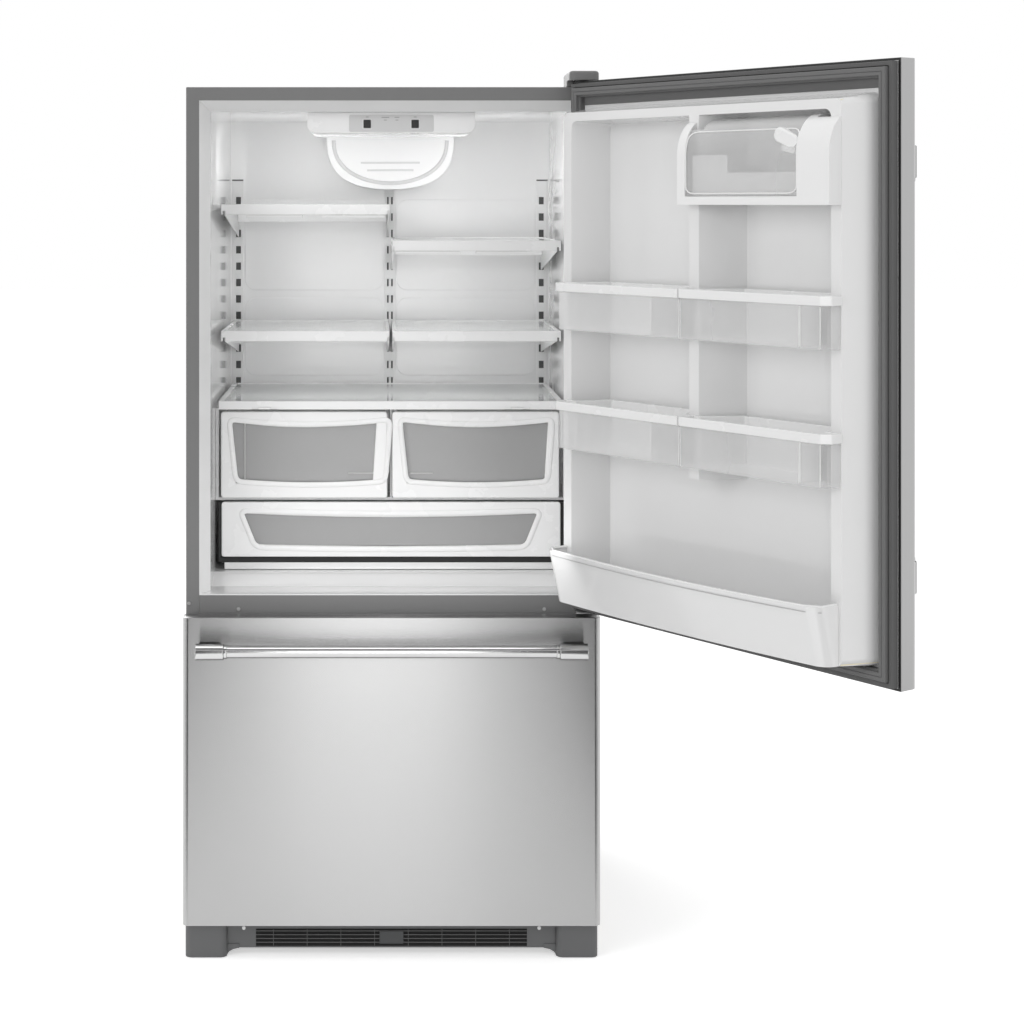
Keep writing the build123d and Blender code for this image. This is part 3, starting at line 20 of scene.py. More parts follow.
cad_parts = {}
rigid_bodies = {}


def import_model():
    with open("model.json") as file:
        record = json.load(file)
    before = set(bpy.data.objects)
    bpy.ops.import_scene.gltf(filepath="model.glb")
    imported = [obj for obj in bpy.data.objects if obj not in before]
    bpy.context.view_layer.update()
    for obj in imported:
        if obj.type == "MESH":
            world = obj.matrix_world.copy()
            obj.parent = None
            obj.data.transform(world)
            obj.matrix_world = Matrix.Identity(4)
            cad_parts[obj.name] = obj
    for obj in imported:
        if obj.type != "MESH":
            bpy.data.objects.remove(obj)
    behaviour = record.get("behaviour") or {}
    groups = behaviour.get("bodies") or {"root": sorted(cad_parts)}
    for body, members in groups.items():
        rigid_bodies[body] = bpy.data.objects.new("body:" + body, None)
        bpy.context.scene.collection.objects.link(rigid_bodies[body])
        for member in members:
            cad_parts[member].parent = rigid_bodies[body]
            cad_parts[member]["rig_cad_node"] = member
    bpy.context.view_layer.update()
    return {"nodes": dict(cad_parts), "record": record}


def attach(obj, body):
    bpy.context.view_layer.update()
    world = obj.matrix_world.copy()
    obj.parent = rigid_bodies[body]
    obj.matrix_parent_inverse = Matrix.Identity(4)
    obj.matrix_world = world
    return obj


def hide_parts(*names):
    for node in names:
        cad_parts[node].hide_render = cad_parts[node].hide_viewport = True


Span = Tuple[float, float]
Triple = Tuple[float, float, float]
Colour = Tuple[float, float, float]
Box = Tuple[Span, Span, Span]
Piece = bpy.types.Object
Test = Callable[[Vector, Vector], bool]

MM = 0.001
FORWARD: Triple = (0.0, -1.0, 0.0)
INWARD: Triple = (0.0, 1.0, 0.0)
ALONG = 0.99  # the cosine from which a face or an edge counts as lying along a way
LOG = logging.getLogger("refrigerator")


@dataclass(frozen=True)
class Layout:
    """Where the door hangs and how far it stands open."""

    door_face: float = -424.6
    hinge: Triple = (393.3, -393.7, 0.0)
    door_angle: float = 125.1

    def at(self, depth: float) -> float:
        """The y of a depth behind the steel face of the shut door."""
        return self.door_face + depth

    def depths(self, span: Span) -> Span:
        """The limits in y of a pair of depths."""
        return (self.at(span[0]), self.at(span[1]))


LAYOUT = Layout()


# ---------------------------------------------------------------- materials


class Texture(Enum):
    """The kinds of surface that the finishes are made of."""

    MOULDED = "moulded"
    BRUSHED = "brushed"
    ENAMEL = "enamel"
    CLEAR = "clear"
    FOAM = "foam"
    CAST = "cast"

    @property
    def swing(self) -> float:
        """How much the roughness wanders over such a surface."""
        return {Texture.FOAM: 0.06, Texture.CAST: 0.06, Texture.BRUSHED: 0.007}.get(self, 0.02)


MOULDED, BRUSHED, ENAMEL, CLEAR, FOAM, CAST = Texture


@dataclass(frozen=True)
class Finish:
    """One material of the refrigerator, with the detail of its surface."""

    name: str
    texture: Texture
    colour: Colour
    roughness: float = 0.4
    metallic: float = 0.0
    coat: float = 0.0
    bump: float = 0.05
    grain: float = 900.0
    spread: float = 0.03
    turn: float = 0.0
    upright: bool = False
    alpha: Span = (1.0, 1.0)
    edge_tint: float = 1.0
    anisotropy: float = 0.9
    slot: str = ""

    def record_slot(self) -> str:
        """The record's material slot that this finish stands for."""
        return self.slot or self.name


def grey(value: float, warm: float = 0.0) -> Colour:
    """A grey, with a little more red than blue where warm is above nothing."""
    return (value + warm, value, value - warm)


FINISHES: Tuple[Finish, ...] = (
    Finish("cabinet_paint", ENAMEL, grey(0.175), 0.42, bump=0.10, grain=1400.0),
    Finish("galvanised_sheet", CAST, grey(0.42, -0.01), 0.38, metallic=0.8, grain=70.0,
           spread=0.16),
    Finish("foam", FOAM, (0.80, 0.74, 0.52), 0.9, bump=0.5, grain=260.0, spread=0.08),
    Finish("white_liner", MOULDED, grey(0.80), 0.24, coat=0.8, bump=0.03, grain=420.0,
           spread=0.008),
    Finish("roller_nylon", MOULDED, grey(0.50), 0.5, grain=700.0),
    Finish("zinc_steel", BRUSHED, grey(0.64), 0.38, metallic=1.0, grain=500.0, spread=0.10),
    Finish("grey_plastic", MOULDED, grey(0.13, -0.002), 0.48, bump=0.14, grain=1500.0, spread=0.04),
    Finish("dark_plastic", MOULDED, grey(0.06, -0.002), 0.45, bump=0.16, grain=1300.0, spread=0.05),
    Finish("white_steel", ENAMEL, grey(0.80), 0.3, grain=1200.0, spread=0.015),
    Finish("white_plastic", MOULDED, grey(0.84), 0.27, coat=0.2, bump=0.035, grain=800.0,
           spread=0.007),
    Finish("clear_white_plastic", MOULDED, grey(0.84), 0.24, coat=0.3, grain=700.0, spread=0.012),
    Finish("clear_glass", CLEAR, (0.80, 0.815, 0.81), 0.05, alpha=(0.14, 0.7), spread=0.01),
    Finish("clear_plastic", CLEAR, grey(0.93), 0.10, alpha=(0.13, 0.8), spread=0.02),
    Finish("frosted_plastic", MOULDED, grey(0.76), 0.3, coat=0.2, grain=1600.0, spread=0.01),
    Finish("lamp_glass", CLEAR, grey(0.93, 0.02), 0.25, alpha=(0.9, 1.0), spread=0.01),
    Finish("black_plastic", MOULDED, grey(0.006), 0.4, coat=0.1, bump=0.03),
    Finish("bare_aluminium", BRUSHED, grey(0.72), 0.35, metallic=1.0, grain=600.0, spread=0.08),
    Finish("black_steel", ENAMEL, grey(0.018), 0.32, coat=0.4, bump=0.10),
    Finish("stainless", BRUSHED, grey(0.475), 0.27, metallic=1.0, bump=0.005, spread=0.015),
    Finish("polished_steel", BRUSHED, grey(0.62), 0.15, metallic=1.0, bump=0.02, grain=1100.0,
           spread=0.05, edge_tint=0.2, anisotropy=0.2),
    Finish("grey_rubber", MOULDED, grey(0.15), 0.62, bump=0.12, spread=0.05),
    Finish("door_stainless", BRUSHED, grey(0.455), 0.30, metallic=1.0, bump=0.005, spread=0.015,
           turn=-LAYOUT.door_angle, slot="stainless"),
    Finish("door_polished", BRUSHED, grey(0.62), 0.15, metallic=1.0, bump=0.02, grain=1100.0,
           spread=0.05, upright=True, edge_tint=0.2, anisotropy=0.2, slot="polished_steel"),
    # A darker copy of the grey rubber that paints the shade on the gasket's outer lip.
    Finish("lip_rubber", MOULDED, grey(0.105), 0.6, bump=0.12, spread=0.05, slot="grey_rubber"),
    Finish("slot_shadow", MOULDED, grey(0.085), 0.6, slot="dark_plastic"),
    Finish("smoked_window", CLEAR, grey(0.56), 0.16, alpha=(0.45, 0.9), spread=0.02,
           slot="clear_plastic"),
    Finish("smoked_lid", CLEAR, grey(0.74), 0.12, alpha=(0.18, 0.9), spread=0.02,
           slot="clear_plastic"),
    # Near black that paints the shade seen through the toe grille's openings.
    Finish("grille_dark", MOULDED, grey(0.008), 0.9, bump=0.3, grain=500.0, spread=0.1,
           slot="dark_plastic"),
    Finish("grille_slat", MOULDED, grey(0.10), 0.5, bump=0.14, grain=1500.0, spread=0.04,
           slot="grey_plastic"),
    # A grey for thin lines: the crisper's rib, the painted shadow under the trough's rolled rim and
    # the painted highlights on the crisper floors.
    Finish("liner_groove", MOULDED, grey(0.50), 0.4, grain=700.0, spread=0.02,
           slot="white_plastic"),
    Finish("print_grey", MOULDED, grey(0.30), 0.5, grain=700.0, spread=0.02, slot="grey_plastic"),
    Finish("milky_plastic", CLEAR, grey(0.97), 0.2, alpha=(0.90, 1.0), spread=0.01,
           slot="clear_plastic"),
    Finish("cap_plastic", MOULDED, grey(0.155), 0.4, bump=0.12, grain=1300.0, spread=0.05,
           slot="dark_plastic"),
    # A darker white: the control plate's own tone, and the painted shade at the light cover's rim
    # and in its louvre grooves.
    Finish("panel_white", MOULDED, grey(0.60), 0.3, coat=0.2, grain=800.0, spread=0.012,
           slot="white_plastic"),
)


def maths(nodes: bpy.types.Nodes, operation: str, *values: float) -> bpy.types.Node:
    """Adds a maths node.

    Args:
        nodes: the nodes of a tree.
        operation: what the node does.
        values: constants for the sockets after the first.

    Returns:
        The new node.
    """
    node = nodes.new("ShaderNodeMath")
    node.operation = operation
    for socket, value in zip(list(node.inputs)[1:], values):
        socket.default_value = value
    return node


def ranged(tree: bpy.types.NodeTree, source: bpy.types.NodeSocket, low: float,
           high: float) -> bpy.types.NodeSocket:
    """Stretches a socket that runs from nought to one.

    Args:
        tree: the tree.
        source: the socket.
        low: what nought becomes.
        high: what one becomes.

    Returns:
        The socket with the result.
    """
    node = tree.nodes.new("ShaderNodeMapRange")
    node.inputs["To Min"].default_value = low
    node.inputs["To Max"].default_value = high
    tree.links.new(source, node.inputs["Value"])
    return node.outputs["Result"]


class NodeGroups:
    """Builds the shader groups that several finishes share."""

    drift_scale = 7.0
    drift_detail = 4.0
    fine_detail = 3.0
    broad_detail = 5.0

    def __init__(self) -> None:
        """Makes the drift of a colour, the pebbling of plastic and paint, and level scratches."""
        self.tone = self._tone()
        self.peel = self._grain("fine_peel", (1.0, 1.0, 1.0), (1.0, 1.0, 1.0), 16.0)
        self.brushing = self._grain("brushed_grain", (0.012, 0.012, 1.0), (0.6, 0.6, 40.0), 4.0)

    @staticmethod
    def _start(name: str, inputs: Dict[str, str], outputs: Dict[str, str]) -> bpy.types.NodeTree:
        """Starts a group with its sockets.

        Args:
            name: the group's name.
            inputs: the kind of socket for each name.
            outputs: the same for the outputs.

        Returns:
            The new group.
        """
        tree = bpy.data.node_groups.new(name, "ShaderNodeTree")
        for sockets, way in ((inputs, "INPUT"), (outputs, "OUTPUT")):
            for socket, kind in sockets.items():
                tree.interface.new_socket(socket, in_out=way, socket_type=f"NodeSocket{kind}")
        tree.nodes.new("NodeGroupInput").name = "in"
        tree.nodes.new("NodeGroupOutput").name = "out"
        return tree

    @classmethod
    def _tone(cls) -> bpy.types.NodeTree:
        """A colour that drifts a little over the surface, as handled and moulded surfaces do.

        Returns:
            The new group.
        """
        tree = cls._start(
            "surface_tone", {"Vector": "Vector", "Colour": "Color", "Spread": "Float"},
            {"Colour": "Color"})
        nodes = tree.nodes
        given = nodes["in"].outputs
        broad = nodes.new("ShaderNodeTexNoise")
        broad.inputs["Scale"].default_value = cls.drift_scale
        broad.inputs["Detail"].default_value = cls.drift_detail
        centre = maths(nodes, "SUBTRACT", 0.5)
        gain = maths(nodes, "MULTIPLY")
        double = maths(nodes, "MULTIPLY_ADD", 2.0, 1.0)
        shade = nodes.new("ShaderNodeVectorMath")
        shade.operation = "SCALE"
        for source, target in (
            (given["Vector"], broad.inputs["Vector"]),
            (broad.outputs["Fac"], centre.inputs[0]),
            (centre.outputs[0], gain.inputs[0]),
            (given["Spread"], gain.inputs[1]),
            (gain.outputs[0], double.inputs[0]),
            (given["Colour"], shade.inputs[0]),
            (double.outputs[0], shade.inputs["Scale"]),
            (shade.outputs[0], nodes["out"].inputs["Colour"]),
        ):
            tree.links.new(source, target)
        return tree

    @classmethod
    def _grain(cls, name: str, fine: Triple, broad: Triple,
               broad_size: float) -> bpy.types.NodeTree:
        """A fine height and a broad mask of wear.

        Args:
            name: the group's name.
            fine: the stretch of the fine noise.
            broad: the stretch of the broad noise.
            broad_size: the scale of the broad noise.

        Returns:
            The new group.
        """
        tree = cls._start(
            name, {"Vector": "Vector", "Fineness": "Float"}, {"Height": "Float", "Mask": "Float"})
        nodes, links = tree.nodes, tree.links
        given = nodes["in"].outputs
        for stretch, output, detail in (
            (fine, "Height", cls.fine_detail), (broad, "Mask", cls.broad_detail),
        ):
            mapping = nodes.new("ShaderNodeMapping")
            mapping.inputs["Scale"].default_value = stretch
            noise = nodes.new("ShaderNodeTexNoise")
            noise.inputs["Detail"].default_value = detail
            noise.inputs["Scale"].default_value = broad_size
            if output == "Height":
                links.new(given["Fineness"], noise.inputs["Scale"])
            links.new(given["Vector"], mapping.inputs["Vector"])
            links.new(mapping.outputs["Vector"], noise.inputs["Vector"])
            links.new(noise.outputs["Fac"], nodes["out"].inputs[output])
        return tree


class Palette:
    """Builds every finish as a material and gives it to the pieces that wear it."""

    bump_distance = 0.0004
    least_roughness = 0.02
    coat_roughness = 0.08
    brush_direction = 0.25
    edge_blend = 0.35

    def __init__(self) -> None:
        """Builds the shared groups and all the materials."""
        self.groups = NodeGroups()
        self.finishes: Dict[str, Finish] = {finish.name: finish for finish in FINISHES}
        self.materials: Dict[str, bpy.types.Material] = {
            finish.name: self._build(finish) for finish in FINISHES
        }

    def _build(self, finish: Finish) -> bpy.types.Material:
        """Builds one material.

        Args:
            finish: its description.

        Returns:
            The new material.
        """
        material = bpy.data.materials.new(finish.name)
        material.use_nodes = True
        tree = material.node_tree
        nodes, links = tree.nodes, tree.links
        shader = nodes["Principled BSDF"]
        place = nodes.new("ShaderNodeTexCoord")
        mapping = nodes.new("ShaderNodeMapping")
        tilt = math.pi / 2 if finish.upright else 0.0
        mapping.inputs["Rotation"].default_value = (0.0, tilt, math.radians(finish.turn))
        links.new(place.outputs["Object"], mapping.inputs["Vector"])
        vector = mapping.outputs["Vector"]

        tone = nodes.new("ShaderNodeGroup")
        tone.node_tree = self.groups.tone
        tone.inputs["Colour"].default_value = (*finish.colour, 1.0)
        tone.inputs["Spread"].default_value = finish.spread
        links.new(vector, tone.inputs["Vector"])
        links.new(tone.outputs["Colour"], shader.inputs["Base Color"])

        grain = nodes.new("ShaderNodeGroup")
        grain.node_tree = self.groups.brushing if finish.texture is BRUSHED else self.groups.peel
        grain.inputs["Fineness"].default_value = finish.grain
        links.new(vector, grain.inputs["Vector"])
        bump = nodes.new("ShaderNodeBump")
        bump.inputs["Strength"].default_value = finish.bump
        bump.inputs["Distance"].default_value = self.bump_distance
        links.new(grain.outputs["Height"], bump.inputs["Height"])
        links.new(bump.outputs["Normal"], shader.inputs["Normal"])

        swing = finish.texture.swing
        least = max(self.least_roughness, finish.roughness - swing)
        rough = ranged(tree, grain.outputs["Mask"], least, finish.roughness + swing)
        links.new(rough, shader.inputs["Roughness"])

        shader.inputs["Metallic"].default_value = finish.metallic
        shader.inputs["Coat Weight"].default_value = finish.coat
        shader.inputs["Coat Roughness"].default_value = self.coat_roughness
        shader.inputs["Specular Tint"].default_value = (*grey(finish.edge_tint), 1.0)
        if finish.texture is BRUSHED:
            shader.inputs["Anisotropic"].default_value = finish.anisotropy
            shader.inputs["Anisotropic Rotation"].default_value = self.brush_direction
        if finish.texture is CLEAR:
            edge = nodes.new("ShaderNodeLayerWeight")
            edge.inputs["Blend"].default_value = self.edge_blend
            links.new(ranged(tree, edge.outputs["Facing"], *finish.alpha), shader.inputs["Alpha"])
            material.surface_render_method = "BLENDED"
        return material

    def wear(self, piece: Piece, name: str) -> None:
        """Gives a piece its finish.

        Args:
            piece: the piece.
            name: the finish's name.
        """
        piece.data.materials.clear()
        piece.data.materials.append(self.materials[name])
        if "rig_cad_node" not in piece:
            self.finishes[name].record_slot()


# ---------------------------------------------------------------- the workbench


class Workbench:
    """The modelling operations that the sub-assemblies share, in millimetres."""

    def __init__(self, palette: Palette, nodes: Dict[str, Piece], slots: Dict[str, str]) -> None:
        """Keeps what the pieces need.

        Args:
            palette: the finishes.
            nodes: the CAD nodes.
            slots: the material slot of each node.
        """
        self.palette = palette
        self.nodes = nodes
        self.slots = slots

    @staticmethod
    def clear() -> None:
        """Leaves object mode active with nothing selected."""
        if bpy.context.mode != "OBJECT":
            bpy.ops.object.mode_set(mode="OBJECT")
        bpy.ops.object.select_all(action="DESELECT")

    @classmethod
    def choose(cls, piece: Piece) -> None:
        """Selects one piece alone and makes it active.

        Args:
            piece: the piece.
        """
        cls.clear()
        piece.select_set(True)
        bpy.context.view_layer.objects.active = piece

    @classmethod
    def settle(cls, piece: Piece, name: str) -> Piece:
        """Names a piece and moves its place into its mesh.

        Args:
            piece: the piece.
            name: its name.

        Returns:
            The same piece.
        """
        cls.choose(piece)
        bpy.ops.object.transform_apply(location=True, rotation=True, scale=True)
        piece.name = name
        piece.data.name = name
        return piece

    @classmethod
    def modify(cls, piece: Piece, name: str, kind: str, **settings: object) -> Piece:
        """Adds a modifier to a piece and applies it.

        Args:
            piece: the piece.
            name: the modifier's name.
            kind: the modifier's kind.
            settings: its settings.

        Returns:
            The same piece.
        """
        cls.choose(piece)
        modifier = piece.modifiers.new(name, kind)
        for key, value in settings.items():
            setattr(modifier, key, value)
        bpy.ops.object.modifier_apply(modifier=modifier.name)
        return piece

    @classmethod
    def smooth(cls, piece: Piece, angle: float = 40.0) -> Piece:
        """Shades a piece so that its flats stay flat and its rounds look round.

        Args:
            piece: the piece.
            angle: edges sharper than this stay sharp.

        Returns:
            The same piece.
        """
        cls.choose(piece)
        bpy.ops.object.shade_smooth_by_angle(angle=math.radians(angle))
        return cls.modify(piece, "even shading", "WEIGHTED_NORMAL", keep_sharp=True, weight=100)

    @classmethod
    def round_edges(cls, piece: Piece, width: float, segments: int = 3,
                    angle: float = 35.0) -> Piece:
        """Rounds the sharp edges of a piece.

        Args:
            piece: the piece.
            width: the bevel's width.
            segments: faces across it.
            angle: edges sharper than this are rounded.

        Returns:
            The same piece.
        """
        cls.modify(piece, "rounded edges", "BEVEL", width=width * MM, segments=segments,
                   limit_method="ANGLE", angle_limit=math.radians(angle))
        return cls.smooth(piece)

    @classmethod
    def repeat(cls, piece: Piece, count: int, step: Triple) -> Piece:
        """Repeats a piece in a row.

        Args:
            piece: the piece.
            count: how many there are in the end.
            step: from one to the next.

        Returns:
            The same piece.
        """
        return cls.modify(piece, "row", "ARRAY", count=count, use_relative_offset=False,
                          use_constant_offset=True,
                          constant_offset_displace=[value * MM for value in step])

    @classmethod
    @contextmanager
    def picked(cls, piece: Piece, faces: Optional[Test] = None,
               edges: Optional[Test] = None) -> Iterator[None]:
        """Edits a piece with those faces or edges selected that pass a test.

        Args:
            piece: the piece.
            faces: called with a face's centre in millimetres and its normal.
            edges: called with the ends of an edge in millimetres.

        Yields:
            Nothing, in edit mode.
        """
        cls.choose(piece)
        bpy.ops.object.mode_set(mode="EDIT")
        bpy.ops.mesh.select_mode(type="FACE" if faces else "EDGE")
        bpy.ops.mesh.select_all(action="DESELECT")
        bpy.ops.object.mode_set(mode="OBJECT")
        if faces:
            for polygon in piece.data.polygons:
                polygon.select = bool(faces(polygon.center / MM, polygon.normal))
        if edges:
            points = piece.data.vertices
            for edge in piece.data.edges:
                start, end = (points[index].co / MM for index in edge.vertices)
                edge.select = bool(edges(start, end))
        bpy.ops.object.mode_set(mode="EDIT")
        yield
        bpy.ops.object.mode_set(mode="OBJECT")

    @staticmethod
    def step(inset: float, way: Triple, depth: float, single: bool = False) -> None:
        """Insets the selected faces, each by itself where single is set, and moves them."""
        bpy.ops.mesh.inset(thickness=inset * MM, use_individual=single)
        bpy.ops.transform.translate(value=Vector(way) * depth * MM)

    @classmethod
    def block(cls, name: str, box: Box) -> Piece:
        """A box between pairs of limits, to be shaped further.

        Args:
            name: the piece's name.
            box: limits in x, y and z.

        Returns:
            The new piece.
        """
        cls.clear()
        centre = [(a + b) / 2 * MM for a, b in box]
        bpy.ops.mesh.primitive_cube_add(size=1.0, location=centre)
        piece = bpy.context.active_object
        piece.scale = [abs(b - a) * MM for a, b in box]
        return cls.settle(piece, name)

    @classmethod
    def plate(cls, name: str, box: Box, edge: float = 0.0, segments: int = 2, corner: float = 0.0,
              corner_faces: int = 6, dishes: Sequence[Span] = (), look: Triple = FORWARD) -> Piece:
        """A block with rounded corners, a stepped face and rounded edges.

        Args:
            name: the piece's name.
            box: limits in x, y and z.
            edge: the rounding of its edges.
            segments: faces across a rounded edge.
            corner: the round of its corners, as seen from the front.
            corner_faces: faces across such a corner.
            dishes: for each step of its face, the border left and how far the rest moves out.
            look: the way that the stepped face looks.

        Returns:
            The new piece.
        """
        piece = cls.block(name, box)
        if corner:
            with cls.picked(
                    piece, edges=lambda start, end: abs((end - start).normalized().y) > ALONG):
                bpy.ops.mesh.bevel(offset=corner * MM, segments=corner_faces, affect="EDGES")
        for border, rise in dishes:
            with cls.picked(piece, faces=lambda centre, normal: normal.dot(Vector(look)) > ALONG):
                cls.step(border, look, rise)
        return cls.round_edges(piece, edge, segments) if edge else piece

    @classmethod
    def plates(cls, name: str, boxes: Sequence[Box], edge: float, **shape: object) -> Piece:
        """Plates of one shape, joined into one piece."""
        return cls.join(
            [cls.plate(f"{name}_{n}", box, edge, **shape) for n, box in enumerate(boxes)], name)

    @classmethod
    def rod(cls, name: str, at: Triple, radius: float, length: float, edge: float = 0.0,
            segments: int = 2, axis: str = "Z", sides: int = 12, angle: float = 35.0) -> Piece:
        """A round rod with rounded ends.

        Args:
            name: the piece's name.
            at: its centre.
            radius: its radius.
            length: its length along its axis.
            edge: the rounding of its ends.
            segments: faces across that rounding.
            axis: X or Z.
            sides: faces round it.
            angle: edges sharper than this are rounded.

        Returns:
            The new piece.
        """
        cls.clear()
        bpy.ops.mesh.primitive_cylinder_add(
            vertices=sides, radius=radius * MM, depth=length * MM,
            location=[value * MM for value in at],
            rotation=(0.0, math.pi / 2 if axis == "X" else 0.0, 0.0),
        )
        piece = cls.settle(bpy.context.active_object, name)
        return cls.round_edges(piece, edge, segments, angle) if edge else piece

    @classmethod
    def turn(cls, piece: Piece, angle: float, centre: Triple) -> Piece:
        """Turns a piece round the line through a point that runs into the cabinet.

        Args:
            piece: the piece.
            angle: the angle in degrees.
            centre: the point.

        Returns:
            The same piece.
        """
        cls.choose(piece)
        bpy.ops.transform.rotate(value=math.radians(angle), orient_axis="Y",
                                 center_override=[value * MM for value in centre])
        return cls.settle(piece, piece.name)

    @classmethod
    def join(cls, pieces: Sequence[Piece], name: str) -> Piece:
        """Joins pieces into one mesh.

        Args:
            pieces: the pieces.
            name: the name of the result.

        Returns:
            The joined piece.
        """
        cls.clear()
        for piece in pieces:
            piece.select_set(True)
        bpy.context.view_layer.objects.active = pieces[0]
        if len(pieces) > 1:
            bpy.ops.object.join()
        joined = bpy.context.active_object
        joined.name = name
        joined.data.name = name
        return joined

    @classmethod
    def loop_of(cls, points: Sequence[Triple], fill: str) -> Piece:
        """A closed line through points.

        Args:
            points: the points.
            fill: how it is filled, as the circle tool names it.

        Returns:
            The new piece.
        """
        cls.clear()
        bpy.ops.mesh.primitive_circle_add(vertices=len(points), radius=1.0, fill_type=fill)
        piece = bpy.context.active_object
        for vertex, point in zip(piece.data.vertices, points):
            vertex.co = Vector(point) * MM
        piece.data.update()
        return piece

    @classmethod
    def bead(cls, name: str, points: Sequence[Triple], radius: float, closed: bool = True) -> Piece:
        """A round bead along a line of points.

        Args:
            name: the piece's name.
            points: the line's points.
            radius: the bead's radius.
            closed: whether the last point runs back to the first.

        Returns:
            The new piece, as a mesh.
        """
        piece = cls.loop_of(points, "NOTHING")
        if not closed:
            ends = (Vector(points[0]), Vector(points[-1]))

            def is_end(point: Vector) -> bool:
                """Whether a point is one of the line's ends."""
                return any((point - end).length < 0.01 for end in ends)

            with cls.picked(piece, edges=lambda start, end: is_end(start) and is_end(end)):
                bpy.ops.mesh.delete(type="EDGE_FACE")
        cls.choose(piece)
        bpy.ops.object.convert(target="CURVE")
        piece = bpy.context.active_object
        piece.data.bevel_depth = radius * MM
        piece.data.bevel_resolution = 3
        piece.data.use_fill_caps = not closed
        bpy.ops.object.convert(target="MESH")
        piece = cls.settle(bpy.context.active_object, name)
        bpy.ops.object.shade_smooth_by_angle(angle=math.radians(50.0))
        return piece

    @classmethod
    def profile_ring(cls, name: str, outline: Sequence[Triple], steps: Sequence[Span],
                     width: float) -> Piece:
        """A ring whose section is built inwards from its outline.

        Args:
            name: the piece's name.
            outline: the points of its outer edge, across the cabinet.
            steps: pairs of how far in and how far along +y each part of the section goes.
            width: the rounding of its edges.

        Returns:
            The new piece.
        """
        piece = cls.loop_of(outline, "NGON")
        with cls.picked(piece, faces=lambda centre, normal: True):
            for inset, rise in steps:
                cls.step(inset, INWARD, rise)
            bpy.ops.mesh.delete(type="ONLY_FACE")
            bpy.ops.mesh.select_all(action="SELECT")
            bpy.ops.mesh.normals_make_consistent(inside=False)
        if sum(face.normal.y * face.area for face in piece.data.polygons) < 0.0:
            with cls.picked(piece, faces=lambda centre, normal: True):
                bpy.ops.mesh.flip_normals()
        return cls.round_edges(cls.settle(piece, name), width, 3, 50.0)

    @staticmethod
    def rounded_outline(x: Span, z: Span, y: float, radius: float) -> List[Triple]:
        """The points of a rounded rectangle that stands across the cabinet.

        Args:
            x: limits in x.
            z: limits in z.
            y: its depth.
            radius: the round of its corners.

        Returns:
            The points, in order.
        """
        points: List[Triple] = []
        centres = (
            (x[1] - radius, z[1] - radius, 0.0), (x[0] + radius, z[1] - radius, 90.0),
            (x[0] + radius, z[0] + radius, 180.0), (x[1] - radius, z[0] + radius, 270.0),
        )
        for across, up, start in centres:
            for share in (0.0, 0.2, 0.4, 0.6, 0.8, 1.0):
                angle = math.radians(start + 90.0 * share)
                points.append((across + radius * math.cos(angle), y, up + radius * math.sin(angle)))
        return points

    @staticmethod
    def turned_corners(sides: Sequence[Sequence[Triple]], cut: float) -> List[Triple]:
        """A closed line of sides whose corners are rounded off.

        Args:
            sides: the points of each side, from corner to corner.
            cut: how far from a corner the round starts.

        Returns:
            The points, in order.
        """
        kept = []
        for side in sides:
            ends = (Vector(side[0]), Vector(side[-1]))
            kept.append([p for p in side if min((Vector(p) - end).length for end in ends) > cut])
        points: List[Triple] = []
        for n, side in enumerate(kept):
            points += side
            following = kept[(n + 1) % len(kept)]
            start, corner, end = Vector(side[-1]), Vector(sides[n][-1]), Vector(following[0])
            for share in (0.25, 0.5, 0.75):
                points.append(tuple(start.lerp(corner, share).lerp(corner.lerp(end, share), share)))
        return points

    @staticmethod
    def open_door(piece: Piece) -> Piece:
        """Turns a piece from the shut door's place to the open door's.

        Args:
            piece: a piece modelled on the shut door.

        Returns:
            The same piece.
        """
        hinge = Vector(LAYOUT.hinge) * MM
        turn = Matrix.Rotation(math.radians(LAYOUT.door_angle), 4, "Z")
        piece.data.transform(Matrix.Translation(hinge) @ turn @ Matrix.Translation(-hinge))
        piece.data.update()
        return piece

    def finish(self, piece: Piece, body: str, finish: str, replaces: Sequence[str] = ()) -> None:
        """Dresses a piece, fixes it to its body and reports it.

        Args:
            piece: the piece.
            body: the body that it rides on.
            finish: the finish that it wears.
            replaces: CAD nodes that it stands for.
        """
        self.palette.wear(piece, finish)
        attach(piece, body)
        if replaces:
            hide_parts(*replaces)
        LOG.info("%s: %d faces on %s", piece.name, len(piece.data.polygons), body)

    def copy_of(self, node: str) -> Piece:
        """A copy of a CAD node with its loose triangles merged into whole faces.

        Args:
            node: the CAD node.

        Returns:
            The new piece.
        """
        piece = bpy.data.objects.new(f"{node}_finished", self.nodes[node].data.copy())
        bpy.context.scene.collection.objects.link(piece)
        with self.picked(piece, faces=lambda centre, normal: True):
            bpy.ops.mesh.remove_doubles(threshold=0.00001)
            bpy.ops.mesh.dissolve_limited(angle_limit=math.radians(1.0))
        return piece

    def soften(self, node: str, body: str, width: float, finish: str = "", segments: int = 3,
               angle: float = 35.0) -> None:
        """Stands a copy with rounded edges in the place of a CAD node.

        Args:
            node: the CAD node.
            body: its body.
            width: the width of the rounding.
            finish: its finish, when that isn't the node's own.
            segments: faces across a rounded edge.
            angle: edges sharper than this are rounded.
        """
        piece = self.round_edges(self.copy_of(node), width, segments, angle)
        self.finish(piece, body, finish or self.slots[node], (node,))


# ---------------------------------------------------------------- sub-assemblies


